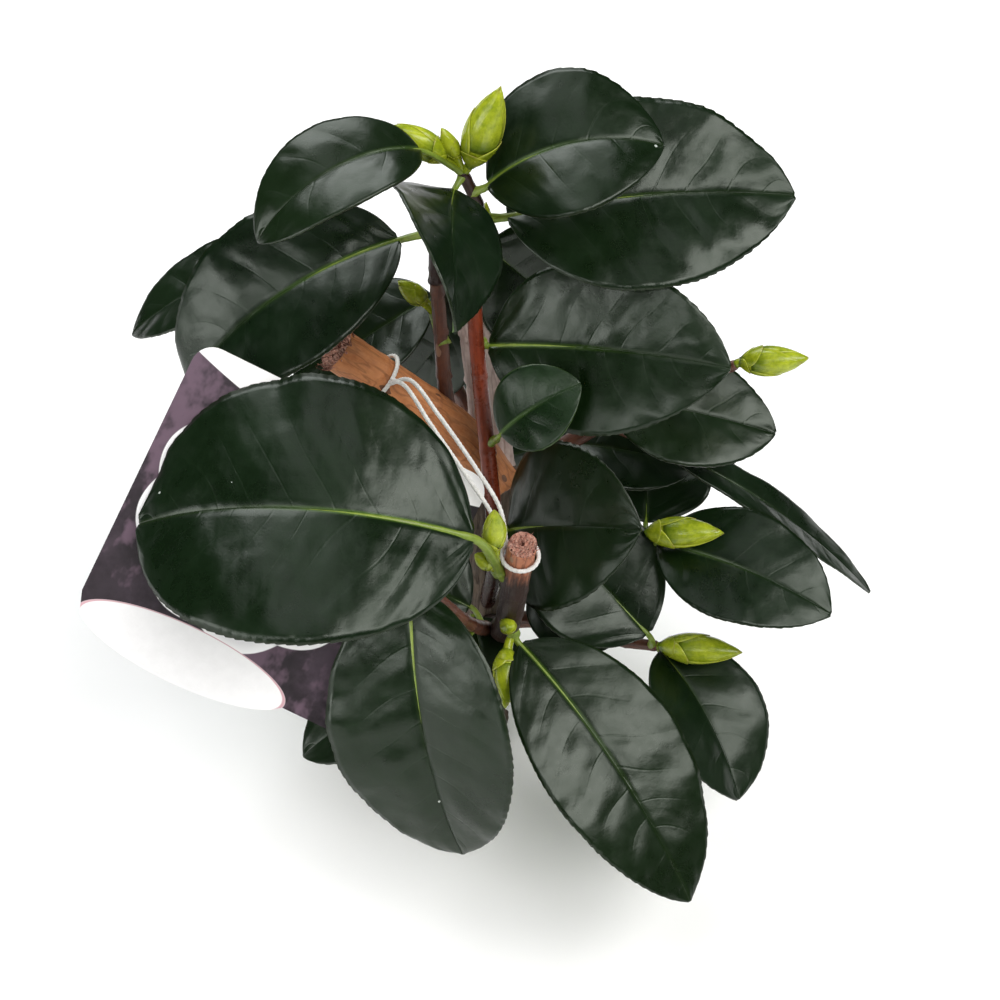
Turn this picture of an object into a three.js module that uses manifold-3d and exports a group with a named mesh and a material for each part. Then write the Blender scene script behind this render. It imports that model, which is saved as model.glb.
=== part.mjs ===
// A young camellia, cut back once and shooting again, with its swing label still tied on.
// Millimetres, +Z up. The origin is the middle of the flat cut under the main stem, at ground level.
// -Y is the plant's best side. Headings are degrees from +X towards +Y, and rises are degrees above level.
import * as THREE from 'three';
import { mergeVertices } from 'three/addons/utils/BufferGeometryUtils.js';
import Module from 'manifold-3d';

const wasm = await Module();
wasm.setup();

const rad = THREE.MathUtils.degToRad;
const GAP = 0.3; // clear space where one piece meets the next
const LEAF_THICKNESS = 1.0;
const LEAF_CELLS = { across: 4, along: 7 };
const LEAF_SHAPE = { base: 0.62, tip: 0.74 }; // powers that round the base and point the tip
const PETIOLE = { root: 1.5, end: 1.1, sides: 5, sunk: 7 };
const BUD_SIDES = 7;
const TWIG_SIDES = 6;

// ---------- limbs: the stems that carry the plant, each one tapering tube ----------

const limbs = {
  main_stem: {
    path: [[0, 0, -6], [0, 0, 8], [4, 3, 50], [8, 8, 102]],
    radii: [8.8, 7.6], sides: 14, flare: 4.5, colour: '#6b5140',
  },
  leader: { // the pale upper half of the old stem
    path: [[8, 9, 100], [6, 15, 125], [3, 20, 150], [2, 22, 166]],
    radii: [6.6, 4.6], sides: 12, colour: '#a39488',
  },
  cut_limb: { // the old leading shoot, sawn off
    path: [[9, 6, 100], [0, 3, 118], [-17, 1, 136], [-36, 0, 153]],
    radii: [6.4, 6.2], sides: 12, colour: '#a8754c',
  },
  cut_front_shoot: {
    path: [[6, 0, 46], [9, -18, 62], [12, -40, 84], [16, -54, 127]],
    radii: [3.6, 4.0], sides: 10, colour: '#7a4a35',
  },
  red_shoot_front: {
    path: [[6, -2, 58], [9, -10, 84], [7, -12, 118], [3, 0, 166], [4, 5, 188]],
    radii: [2.7, 2.0], sides: 8, colour: '#8c3f22',
  },
  red_shoot_back: {
    path: [[-4, 4, 122], [-6, 7, 135], [-7, 10, 152], [-8, 9, 174]],
    radii: [2.3, 1.9], sides: 8, colour: '#6e2b22',
  },
  right_shoot: {
    path: [[6, 9, 88], [24, 12, 104], [45, 12, 121]],
    radii: [3.0, 2.4], sides: 8, colour: '#70402c',
  },
  low_right_shoot: {
    path: [[4, 2, 44], [20, -6, 54], [38, -16, 58]],
    radii: [3.0, 2.2], sides: 8, colour: '#70402c',
  },
  back_left_shoot: {
    path: [[4, 15, 112], [-10, 31, 128], [-26, 44, 136]],
    radii: [2.8, 2.0], sides: 8, colour: '#70402c',
  },
  back_right_shoot: {
    path: [[8, 14, 104], [18, 32, 120], [32, 44, 126]],
    radii: [2.8, 2.0], sides: 8, colour: '#70402c',
  },
  low_back_shoot: {
    path: [[2, 2, 42], [0, 22, 60], [-4, 36, 72]],
    radii: [2.8, 2.0], sides: 8, colour: '#70402c',
  },
};

// ---------- masses: each a short stem of its own with its leaves and buds fused on ----------
// A leaf or bud hangs on its mass's stem, at a share of the way along it. The base is where its
// blade or scales begin, and its stalk bridges the two.

const masses = {
  foliage_top: {
    stem: [[4, 5, 184], [4, 6, 196], [0, 4, 208]], radii: [2.0, 1.6],
    leaves: [
      { at: 0.35, base: [12, 8, 192], heading: 2, rise: 15, roll: 38, long: 80, wide: 57,
        arch: 22, sway: 10 },
      { at: 0.7, base: [7, 2, 206], heading: -12, rise: 53, roll: 34, long: 51, wide: 46,
        arch: 72, sway: 16 },
      { at: 0.99, base: [-11, -4, 220], heading: -142, rise: 31, roll: -14, long: 54, wide: 31, arch: 88 },
      { at: 0.97, base: [-2, -1, 206], heading: -97, rise: 14, roll: -18, long: 57, wide: 38, arch: 22,
        sway: -36, fold: 4, twist: -66 },
    ],
    buds: [
      { at: 1.0, base: [2, 4, 210], heading: -13, rise: 71, long: 26, wide: 10.5 },
      { at: 0.99, base: [-4, 4, 212], heading: 188, rise: 40, long: 18, wide: 8 },
      { at: 1.0, base: [-1, 4, 212], heading: 190, rise: 66, long: 11, wide: 4.5 },
    ],
  },
  foliage_left: {
    stem: [[-8, 9, 170], [-8, 8, 180], [-7, 8, 188]], radii: [1.9, 1.6],
    leaves: [
      { at: 0.95, base: [-18, 7, 185], heading: -154, rise: 2, roll: -30, long: 80, wide: 48, arch: 68,
        sway: -12, fold: 16 },
    ],
    buds: [{ at: 0.9, base: [-9, 8, 188], heading: 160, rise: 70, long: 5, wide: 3 }],
  },
  leaf_right_top: {
    stem: [[3, 0, 156], [5, -1, 156]], radii: [1.5, 1.4],
    leaves: [
      { at: 0.9, base: [7, -1, 155], heading: -27, rise: 21, roll: 56, long: 71, wide: 49,
        arch: 20, sway: 12 },
    ],
    buds: [],
  },
  leaf_young: {
    stem: [[7, -11, 128], [9, -13, 131]], radii: [1.3, 1.2],
    leaves: [
      { at: 0.9, base: [10, -26, 143], heading: -18, rise: 58, roll: 58, long: 28, wide: 24,
        arch: 44, sway: 12 },
    ],
    buds: [],
  },
  leaf_right_middle: {
    stem: [[8, -11, 96], [11, -11, 95]], radii: [1.6, 1.5],
    leaves: [
      { at: 0.9, base: [12, -10, 94], heading: -62, rise: 44, roll: 70, long: 52, wide: 50,
        arch: 50, sway: 8 },
    ],
    buds: [],
  },
  foliage_front_left: {
    stem: [[13, -47, 108], [9, -52, 116]], radii: [2.0, 1.8],
    leaves: [
      { at: 0.8, base: [3, -64, 138], heading: -163, rise: 36, roll: -35, long: 98, wide: 76,
        arch: 78, fold: 9 },
    ],
    buds: [
      { at: 0.95, base: [8.5, -56, 127], heading: -90, rise: 82, long: 16, wide: 7.5 },
      { at: 0.5, base: [8, -54, 119], heading: 200, rise: 50, long: 8, wide: 5 },
    ],
  },
  foliage_front: {
    stem: [[12, -38, 82], [14, -44, 84]], radii: [2.2, 2.0],
    leaves: [
      { at: 0.9, base: [16, -46, 82], heading: -45, rise: -18, roll: 11, long: 89, wide: 45,
        arch: 33, sway: 8 },
    ],
    buds: [
      { at: 0.9, base: [12, -46, 81], heading: -92, rise: -38, long: 18, wide: 8 },
      { at: 0.7, base: [13, -43, 92], heading: -100, rise: 70, long: 6, wide: 4 },
    ],
  },
  foliage_low_left: {
    stem: [[8, -14, 58], [5, -33, 76], [0, -53, 98], [-8, -64, 118]], radii: [2.4, 1.6],
    leaves: [
      { at: 0.98, base: [-14, -65, 121], heading: -92, rise: -40, roll: 20, long: 85, wide: 54,
        arch: 55, fold: 14 },
      { at: 0.5, base: [-7, -62, 88], heading: -160, rise: -14, roll: -10, long: 47, wide: 30, arch: 28 },
      { at: 0.2, base: [2, -24, 72], heading: -80, rise: -4, roll: 0, long: 34, wide: 26, arch: 24 },
      { at: 0.3, base: [1, -26, 78], heading: 166, rise: 24, roll: -38, long: 40, wide: 36, arch: 20 },
    ],
    buds: [],
  },
  foliage_right_upper: {
    stem: [[45, 12, 121], [56, 10, 130], [68, 5, 139], [77, 2, 146]], radii: [2.3, 1.5],
    leaves: [
      { at: 0.08, base: [42, 12, 127], heading: -12, rise: 1, roll: 26, long: 51, wide: 38, arch: 23 },
    ],
    buds: [{ at: 1.0, base: [78, 2, 147], heading: -12, rise: 12, long: 20, wide: 9 }],
  },
  foliage_right_low: {
    stem: [[36, -15, 58], [48, -20, 58], [57, -24, 60]], radii: [2.2, 1.6],
    leaves: [
      { at: 0.9, base: [59, -23, 57], heading: -50, rise: -12, roll: -8, long: 51, wide: 40,
        arch: 36, sway: 8, fold: 18 },
      { at: 0.95, base: [54, -27, 68], heading: 149, rise: 38, roll: -34, long: 51, wide: 42, arch: 0 },
    ],
    buds: [{ at: 1.0, base: [58, -24, 60], heading: -18, rise: 11, long: 26, wide: 9.5 }],
  },
  leaf_right_edge: {
    stem: [[41, 11, 118], [49, 9, 115]], radii: [1.5, 1.3],
    leaves: [{ at: 0.9, base: [55, 8, 113], heading: -5, rise: -22, roll: 2, long: 91, wide: 17, arch: 28 }],
    buds: [],
  },
  foliage_right_front: {
    stem: [[28, -9, 56], [52, 6, 64], [62, 2, 84]], radii: [2.0, 1.6],
    leaves: [
      { at: 0.95, base: [57, -11, 90], heading: -28, rise: 12, roll: 24, long: 56, wide: 37,
        arch: 36, sway: 8 },
      { at: 0.75, base: [55, 9, 81], heading: 86, rise: 26, roll: 6, long: 30, wide: 40, arch: 20 },
    ],
    buds: [{ at: 1.0, base: [53, -12, 95], heading: -17, rise: 14, long: 24, wide: 9.5 }],
  },
  foliage_behind_fork: {
    stem: [[-6, 9, 148], [-9, 15, 155]], radii: [1.8, 1.6],
    leaves: [
      { at: 0.8, base: [-10, 29, 151], heading: -166, rise: -24, roll: -14, long: 52, wide: 37, arch: 18 },
    ],
    buds: [{ at: 1.0, base: [-11, 14, 159], heading: 180, rise: 44, long: 11, wide: 6 }],
  },
  foliage_leader: {
    stem: [[2, 22, 165], [3, 23, 171]], radii: [2.6, 2.2],
    leaves: [{ at: 0.8, base: [6, 24, 172], heading: 8, rise: -46, roll: 60, long: 46, wide: 40, arch: 12 }],
    buds: [{ at: 1.0, base: [4, 24, 173], heading: 60, rise: 70, long: 12, wide: 6 }],
  },
  leaf_under_right: {
    stem: [[22, 12, 102], [26, 18, 103]], radii: [1.8, 1.5],
    leaves: [{ at: 0.9, base: [29, 21, 103], heading: -8, rise: 2, roll: 18, long: 42, wide: 30, arch: 22 }],
    buds: [],
  },
  leaf_low_right: {
    stem: [[9, -2, 66], [15, -8, 70]], radii: [1.8, 1.5],
    leaves: [{ at: 0.9, base: [19, -11, 70], heading: -26, rise: 0, roll: 10, long: 32, wide: 32, arch: 24 }],
    buds: [],
  },
  foliage_back_left: {
    stem: [[-24, 43, 134], [-34, 44, 146], [-40, 38, 159]], radii: [2.0, 1.6],
    leaves: [
      { at: 0.98, base: [-47, 33, 163], heading: 188, rise: -2, roll: -8, long: 60, wide: 32, arch: 42 },
      { at: 0.5, base: [-40, 51, 146], heading: 158, rise: 0, roll: -8, long: 48, wide: 34, arch: 28 },
      { at: 0.3, base: [-33, 54, 141], heading: 114, rise: 8, roll: 0, long: 48, wide: 30, arch: 30 },
      { at: 0.1, base: [-33, 46, 132], heading: 186, rise: -8, roll: -8, long: 42, wide: 30, arch: 20 },
    ],
    buds: [{ at: 1.0, base: [-41, 39, 161], heading: 130, rise: 50, long: 14, wide: 7 }],
  },
  foliage_back_right: {
    stem: [[30, 43, 125], [37, 48, 128]], radii: [2.0, 1.7],
    leaves: [
      { at: 0.9, base: [43, 50, 127], heading: 60, rise: -2, roll: 8, long: 46, wide: 34, arch: 30 },
      { at: 0.5, base: [26, 52, 128], heading: 112, rise: 8, roll: 0, long: 48, wide: 32, arch: 34 },
      { at: 0.2, base: [42, 41, 123], heading: -6, rise: -8, roll: 8, long: 40, wide: 28, arch: 20 },
    ],
    buds: [{ at: 1.0, base: [38, 49, 130], heading: 60, rise: 62, long: 18, wide: 8 }],
  },
  foliage_low_back: {
    stem: [[-4, 34, 70], [-5, 42, 76]], radii: [2.0, 1.7],
    leaves: [
      { at: 1.0, base: [-4, 49, 79], heading: 92, rise: 18, roll: 0, long: 56, wide: 34, arch: 34 },
      { at: 0.7, base: [3, 44, 76], heading: 22, rise: 4, roll: 6, long: 62, wide: 38, arch: 26 },
      { at: 0.7, base: [-13, 43, 77], heading: 160, rise: 4, roll: -6, long: 58, wide: 36, arch: 26 },
    ],
    buds: [],
  },
  leaf_low_back_left: {
    stem: [[-1, 8, 52], [-7, 13, 57]], radii: [2.0, 1.6],
    leaves: [
      { at: 0.9, base: [-13, 14, 59], heading: 192, rise: 4, roll: -10, long: 62, wide: 36, arch: 28 },
    ],
    buds: [],
  },
};

// ---------- the swing label and its string ----------

const label = {
  corner: [-70, -22, 172], // its top left corner
  across: [77, -18, -34], // the way its top edge runs
  down: [-35, -39, -62],
  wide: 85, high: 82, round: 6, thick: 0.9,
  panel: { from: 2, to: 63, deep: 7 }, // the rounded name panel, standing out past the lower edge
  hole: { x: 62, y: 8, radius: 2.4 },
  colour: '#3d2b3a',
};

const string = {
  radius: 0.6, sides: 5, turns: 14, steps: 2, colour: '#f2f0ea',
  rings: [
    { centre: [15.5, -52.2, 121.5], axis: [3, -13, 43], radius: 5.1 }, // round the front shoot
    { centre: [-24, 0.6, 142.4], axis: [-19, -1, 17], radius: 7.4 }, // round the cut limb
  ],
  strands: [
    [[10.5, -51.4, 122.1], [8, -48, 132], [2, -43, 140], [-9, -28, 148], [-16, -14, 150], [-20.5, -4.8, 146]],
    [[11.8, -49, 122.7], [10, -46, 133], [4, -41, 142], [-7, -25.5, 149.5], [-15, -12, 151], [-21.2, -5.7, 145.1]],
    [[-27.5, -4.4, 138.2], [-26, -14, 134], [-20, -26, 137], [-15.8, -31.5, 142.7]],
  ],
};

// ---------- shapes ----------

const vec = (p) => new THREE.Vector3(...p);

// A closed three.js geometry as a manifold solid.
function solid(geometry) {
  for (const name of ['normal', 'uv']) geometry.deleteAttribute(name);
  const merged = mergeVertices(geometry, 1e-4);
  return new wasm.Manifold(new wasm.Mesh({
    numProp: 3,
    vertProperties: merged.attributes.position.array,
    triVerts: new Uint32Array(merged.index.array),
  }));
}

function union(solids) {
  return solids.reduce((joined, next) => joined.add(next));
}

// The one whole body, without the crumbs a cut can leave.
function wholeBody(made) {
  return made.decompose().sort((a, b) => b.volume() - a.volume())[0];
}

// A round tube that follows a path and tapers, from a cylinder bent along a curve.
function tube({ path, radii, sides = TWIG_SIDES, flare = 0, steps = 3 }, grow = 0) {
  const curve = new THREE.CatmullRomCurve3(path.map(vec));
  const rings = Math.max(2, (path.length - 1) * steps);
  const frames = curve.computeFrenetFrames(rings);
  const geometry = new THREE.CylinderGeometry(1, 1, 1, sides, rings);
  const position = geometry.attributes.position;
  for (let i = 0; i < position.count; i++) {
    const share = 0.5 - position.getY(i);
    const ring = Math.round(share * rings);
    const middle = curve.getPointAt(share);
    const spread = flare * Math.exp(-Math.max(0, middle.z) / 9);
    const radius = radii[0] + (radii[1] - radii[0]) * share + spread + grow;
    middle.addScaledVector(frames.normals[ring], position.getX(i) * radius);
    middle.addScaledVector(frames.binormals[ring], position.getZ(i) * radius);
    position.setXYZ(i, middle.x, middle.y, middle.z);
  }
  return solid(geometry);
}

function startFrame(heading, rise, roll = 0) {
  const h = rad(heading);
  const along = new THREE.Vector3(Math.cos(h), Math.sin(h), 0).multiplyScalar(Math.cos(rad(rise)));
  along.z = Math.sin(rad(rise));
  const side = new THREE.Vector3(Math.sin(h), -Math.cos(h), 0);
  side.applyAxisAngle(along, rad(roll));
  return { along, side };
}

// Half the blade's width at a share of its length: rounded at the base, drawn out at the tip.
function halfWidth(share, wide) {
  const { base, tip } = LEAF_SHAPE;
  const widest = base / (base + tip);
  const shape = (s) => s ** base * (1 - s) ** tip;
  return 0.5 * wide * shape(share) / shape(widest);
}

// The midrib's points and directions, from the blade's base to its tip.
function midrib(leaf) {
  const { base, heading, rise, roll, long, arch = 20, sway = 0, twist = 0 } = leaf;
  const steps = LEAF_CELLS.along;
  const { along, side } = startFrame(heading, rise, roll);
  const point = vec(base);
  const stations = [];
  for (let i = 0; i <= steps; i++) {
    const up = new THREE.Vector3().crossVectors(side, along);
    stations.push({ point: point.clone(), along: along.clone(), side: side.clone(), up });
    along.applyAxisAngle(side, -rad(arch / steps));
    along.applyAxisAngle(up, -rad(sway / steps));
    side.applyAxisAngle(up, -rad(sway / steps));
    side.applyAxisAngle(along, rad(twist / steps));
    point.addScaledVector(along, long / steps);
  }
  return stations;
}

// A blade is a flat box bent along its midrib, folded up from it and curled down at the margins.
function blade(leaf) {
  const { wide, fold = 12, curl = 0.12 } = leaf;
  const { across, along } = LEAF_CELLS;
  const stations = midrib(leaf);
  const geometry = new THREE.BoxGeometry(2, 1, 1, across, along, 1);
  const position = geometry.attributes.position;
  for (let i = 0; i < position.count; i++) {
    const share = position.getY(i) + 0.5;
    const { point, side, up } = stations[Math.round(share * along)];
    const u = position.getX(i);
    const half = halfWidth(THREE.MathUtils.clamp(share, 0.012, 0.992), wide);
    const height = half * (Math.abs(u) * Math.sin(rad(fold)) - curl * u * u);
    const place = point.clone()
      .addScaledVector(side, u * half * Math.cos(rad(fold)))
      .addScaledVector(up, height + position.getZ(i) * LEAF_THICKNESS);
    position.setXYZ(i, place.x, place.y, place.z);
  }
  return solid(geometry);
}

// The stalk leaves the stem, then runs a little way along the underside of the midrib.
function petiole(root, leaf) {
  const [start, next] = midrib(leaf);
  const run = next.point.clone().sub(start.point).setLength(PETIOLE.sunk);
  const neck = start.point.clone().addScaledVector(start.along, -1.5).addScaledVector(start.up, -0.6);
  const end = start.point.clone().add(run).addScaledVector(start.up, -0.7);
  const path = [root, neck, end].map((p) => p.toArray());
  return tube({ path, radii: [PETIOLE.root, PETIOLE.end], sides: PETIOLE.sides, steps: 2 });
}

// A pointed egg on a short stalk.
function bud(root, { base, heading, rise, long, wide }) {
  const profile = [[0, 0]];
  for (const share of [0.05, 0.2, 0.42, 0.64, 0.84]) {
    profile.push([Math.sin(Math.PI * share ** 0.8) ** 0.8 * 0.5, share]);
  }
  profile.push([0, 1]);
  const points = profile.map(([r, h]) => new THREE.Vector2(r * wide, h * long));
  const geometry = new THREE.LatheGeometry(points, BUD_SIDES);
  const { along } = startFrame(heading, rise);
  geometry.applyQuaternion(new THREE.Quaternion().setFromUnitVectors(new THREE.Vector3(0, 1, 0), along));
  geometry.translate(...base);
  const inside = vec(base).addScaledVector(along, long * 0.12);
  const path = [root, vec(base).lerp(root, 0.4), inside].map((p) => p.toArray());
  const radius = Math.min(1.3, wide * 0.22);
  return solid(geometry).add(tube({ path, radii: [radius, radius], sides: PETIOLE.sides, steps: 1 }));
}

function massSolid({ stem, radii, leaves, buds }) {
  const curve = new THREE.CatmullRomCurve3(stem.map(vec));
  const root = ({ at }) => curve.getPointAt(at);
  return union([
    tube({ path: stem, radii, steps: 2 }),
    ...leaves.flatMap((leaf) => [blade(leaf), petiole(root(leaf), leaf)]),
    ...buds.map((one) => bud(root(one), one)),
  ]);
}

// A matrix whose x and y run along two given directions, set at a point.
function placeOn(corner, across, up) {
  const x = vec(across).normalize();
  const z = x.clone().cross(vec(up)).normalize();
  const y = z.clone().cross(x);
  return new THREE.Matrix4().makeBasis(x, y, z).setPosition(...corner);
}

function labelSolid({ corner, across, down, wide, high, round, thick, panel, hole }) {
  const outline = new THREE.Shape();
  outline.moveTo(round, 0);
  outline.lineTo(wide - round, 0);
  outline.quadraticCurveTo(wide, 0, wide, -round);
  outline.lineTo(wide, -high);
  outline.lineTo(panel.to, -high);
  outline.bezierCurveTo(
    panel.to - 8, -high - panel.deep * 1.35, panel.from + 8, -high - panel.deep * 1.35, panel.from, -high,
  );
  outline.lineTo(0, -high + round);
  outline.lineTo(0, -round);
  outline.quadraticCurveTo(0, 0, round, 0);
  const card = new THREE.ExtrudeGeometry(outline, { depth: thick, bevelEnabled: false, curveSegments: 8 });
  const punch = new THREE.CylinderGeometry(hole.radius, hole.radius, 4, 16).rotateX(Math.PI / 2);
  const place = placeOn(corner, across, down.map((d) => -d));
  card.translate(0, 0, -thick / 2).applyMatrix4(place);
  punch.translate(hole.x, -hole.y, 0).applyMatrix4(place);
  return solid(card).subtract(solid(punch));
}

function stringSolid({ radius, sides, turns, steps, rings, strands }) {
  const forward = new THREE.Vector3(0, 0, 1);
  const loops = rings.map((ring) => {
    const geometry = new THREE.TorusGeometry(ring.radius, radius, sides, turns);
    const turn = new THREE.Quaternion().setFromUnitVectors(forward, vec(ring.axis).normalize());
    return solid(geometry.applyQuaternion(turn).translate(...ring.centre));
  });
  // the loop through the label's hole goes over its top edge
  const { corner, across, down, hole } = label;
  const x = vec(across).normalize();
  const y = vec(down).normalize();
  const middle = vec(corner).addScaledVector(x, hole.x).addScaledVector(y, hole.y / 2 - 1.5);
  const geometry = new THREE.TorusGeometry(hole.y / 2 + 1.5, radius, sides, turns);
  geometry.applyQuaternion(new THREE.Quaternion().setFromUnitVectors(forward, x));
  loops.push(solid(geometry.translate(middle.x, middle.y, middle.z)));
  const tubes = strands.map((path) => tube({ path, radii: [radius, radius], sides, steps }));
  return union([...loops, ...tubes]);
}

function toMesh(name, made, colour, roughness = 0.6) {
  const { vertProperties, triVerts } = made.getMesh();
  const geometry = new THREE.BufferGeometry();
  geometry.setAttribute('position', new THREE.BufferAttribute(vertProperties, 3));
  geometry.setIndex(new THREE.BufferAttribute(triVerts, 1));
  geometry.computeVertexNormals();
  const mesh = new THREE.Mesh(geometry, new THREE.MeshStandardMaterial({ color: colour, roughness, metalness: 0 }));
  mesh.name = name;
  return mesh;
}

// ---------- the plant ----------

const plant = new THREE.Group();

const ground = solid(new THREE.BoxGeometry(80, 80, 20).translate(0, 0, -10));
const limbSolids = {};
const spaces = {}; // each limb and the clear space round it
for (const [name, limb] of Object.entries(limbs)) {
  let made = tube(limb);
  for (const space of Object.values(spaces)) made = made.subtract(space);
  limbSolids[name] = wholeBody(made.subtract(ground));
  spaces[name] = tube(limb, GAP);
  plant.add(toMesh(name, limbSolids[name], limb.colour));
}

const wood = union(Object.values(spaces));
for (const [name, mass] of Object.entries(masses)) {
  plant.add(toMesh(name, wholeBody(massSolid(mass).subtract(wood)), '#22391f', 0.35));
}

plant.add(toMesh('swing_label', labelSolid(label), label.colour, 0.4));
plant.add(toMesh('label_string', stringSolid(string), string.colour, 0.9));

export default plant;
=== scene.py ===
import bpy, bmesh, math, random
from mathutils import Matrix, Quaternion, Vector, noise


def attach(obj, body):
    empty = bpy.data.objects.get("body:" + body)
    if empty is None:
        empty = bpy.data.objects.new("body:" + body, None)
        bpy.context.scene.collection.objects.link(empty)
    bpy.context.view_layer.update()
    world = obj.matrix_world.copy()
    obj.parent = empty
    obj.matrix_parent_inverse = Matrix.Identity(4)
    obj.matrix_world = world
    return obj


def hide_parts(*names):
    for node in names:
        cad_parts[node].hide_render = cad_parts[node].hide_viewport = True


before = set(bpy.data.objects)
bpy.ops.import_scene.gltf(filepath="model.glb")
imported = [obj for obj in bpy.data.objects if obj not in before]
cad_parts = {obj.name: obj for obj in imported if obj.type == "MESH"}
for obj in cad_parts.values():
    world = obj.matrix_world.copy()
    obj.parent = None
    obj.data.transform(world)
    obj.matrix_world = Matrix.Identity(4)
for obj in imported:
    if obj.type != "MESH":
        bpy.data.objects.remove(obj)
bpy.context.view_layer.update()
print("frame loaded:", len(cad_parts), "nodes")

# A young camellia, cut back once and shooting again, with a swing label tied on.
# Lengths in the dictionaries are millimetres, turned into metres as each vertex is placed.
scene = bpy.context.scene
mm = 0.001


def mix(a, b, share):
    return a + (b - a) * share


def clamp(value, low=0.0, high=1.0):
    return max(low, min(high, value))


def smooth(low, high, value):
    share = clamp((value - low) / (high - low))
    return share * share * (3 - 2 * share)


def hump(distance, width):  # 1 at its middle, falling to nothing a few widths away
    return math.exp(-(distance / width) ** 2)


# camera, floor and light

view = {
    "target": (0.010, -0.015, 0.110),
    "distance": 0.600,
    "elevation": 40.0,
    "lens": 74.48,
}

studio = {
    "floorSize": 2.8,
    "floorPale": (0.96, 0.96, 0.955, 1),
    "floorShade": (0.94, 0.94, 0.935, 1),
    "world": (0.94, 0.97, 1.0, 1),
    "worldStrength": 0.04,
    "backdropStrength": 1.0, # what the camera sees past the floor
    "softboxes": [ # name, place, aimed at, width and depth, watts, colour
        ("key", (0.98, -0.74, 1.55), (0.0, 0.0, 0.10), (2.4, 0.78), 44, (1.0, 0.99, 0.975)),
        ("overhead", (-0.35, -0.05, 2.00), (0.0, 0.0, 0.10), (1.3, 1.0), 5, (0.97, 0.985, 1.0)),
        ("leftFront", (-1.30, -0.75, 0.40), (0.0, 0.0, 0.12), (0.8, 0.7), 10, (1.0, 1.0, 1.0)),
        ("front", (-0.60, -1.15, 0.85), (0.0, 0.0, 0.12), (0.55, 0.45), 4, (1.0, 1.0, 1.0)),
        ("behind", (-0.50, 1.20, 1.60), (0.0, 0.2, 0.0), (1.6, 1.2), 30, (0.97, 0.985, 1.0)),
    ],
}


def setCamera():
    tilt = math.radians(view["elevation"])
    back = Vector((0, -math.cos(tilt), math.sin(tilt)))
    data = bpy.data.cameras.new("plantCamera")
    data.lens = view["lens"]
    camera = bpy.data.objects.new("plantCamera", data)
    camera.location = Vector(view["target"]) + back * view["distance"]
    camera.rotation_euler = (-back).to_track_quat("-Z", "Y").to_euler()
    scene.collection.objects.link(camera)
    scene.camera = camera


def setLights():
    for name, place, aim, size, watts, colour in studio["softboxes"]:
        data = bpy.data.lights.new(name, "AREA")
        data.shape = "RECTANGLE"
        data.size, data.size_y = size
        data.energy = watts
        data.color = colour
        lamp = bpy.data.objects.new(name, data)
        lamp.location = place
        lamp.rotation_euler = (Vector(aim) - Vector(place)).to_track_quat("-Z", "Y").to_euler()
        scene.collection.objects.link(lamp)
    world = bpy.data.worlds.new("studioWorld")
    world.use_nodes = True
    tree = world.node_tree
    sky = tree.nodes["Background"]
    sky.inputs["Color"].default_value = studio["world"]
    # the camera sees a white backdrop, and the plant is lit by a dim one
    seen = addNode(tree, "LightPath").outputs["Is Camera Ray"]
    dim, pale = studio["worldStrength"], studio["backdropStrength"]
    fill(tree, sky.inputs["Strength"], maths(tree, "MULTIPLY_ADD", seen, pale - dim, dim))
    scene.world = world
    scene.view_settings.view_transform = "Standard"
    scene.view_settings.look = "None"


# node helpers: most add one node and give back its first output


def fill(tree, socket, value):
    if isinstance(value, bpy.types.NodeSocket):
        tree.links.new(value, socket)
    else:
        socket.default_value = value


def addNode(tree, kind, settings=None, **sockets):
    made = tree.nodes.new("ShaderNode" + kind)
    for name, value in (settings or {}).items():
        setattr(made, name, value)
    for name, value in sockets.items():
        fill(tree, made.inputs[name.replace("_", " ")], value)
    return made


def maths(tree, operation, *values):
    made = tree.nodes.new("ShaderNodeMath")
    made.operation = operation
    for socket, value in zip(made.inputs, values):
        fill(tree, socket, value)
    return made.outputs[0]


def plus(tree, first, second):
    return maths(tree, "ADD", first, second)


def less(tree, first, second):
    return maths(tree, "SUBTRACT", first, second)


def times(tree, first, second):
    return maths(tree, "MULTIPLY", first, second)


def mixColour(tree, share, first, second):
    made = tree.nodes.new("ShaderNodeMix")
    made.data_type = "RGBA"
    for place, value in ((0, share), (6, first), (7, second)):
        fill(tree, made.inputs[place], value)
    return made.outputs[2]


def between(tree, value, low, high, toLow=0.0, toHigh=1.0):  # a smooth step from low to high
    made = addNode(tree, "MapRange", {"interpolation_type": "SMOOTHSTEP"},
                   Value=value, From_Min=low, From_Max=high, To_Min=toLow, To_Max=toHigh)
    return made.outputs[0]


def read(tree, name):  # a vector attribute of the mesh
    return addNode(tree, "Attribute", {"attribute_name": name}).outputs["Vector"]


def split(tree, vector):
    return addNode(tree, "SeparateXYZ", Vector=vector).outputs


def stretched(tree, vector, scale):
    return addNode(tree, "Mapping", Vector=vector, Scale=scale).outputs[0]


def newGroup(name, inputs, outputs):
    group = bpy.data.node_groups.new(name, "ShaderNodeTree")
    for label, kind, value in inputs:
        socket = group.interface.new_socket(label, in_out="INPUT", socket_type="NodeSocket" + kind)
        if value is not None:
            socket.default_value = value
    for label, kind in outputs:
        group.interface.new_socket(label, in_out="OUTPUT", socket_type="NodeSocket" + kind)
    return group, group.nodes.new("NodeGroupInput").outputs, group.nodes.new("NodeGroupOutput").inputs


def useGroup(tree, group, **sockets):
    made = tree.nodes.new("ShaderNodeGroup")
    made.node_tree = group
    for name, value in sockets.items():
        fill(tree, made.inputs[name], value)
    return made.outputs


setCamera()
setLights()
print("camera and lights set")

# shared effects

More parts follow.
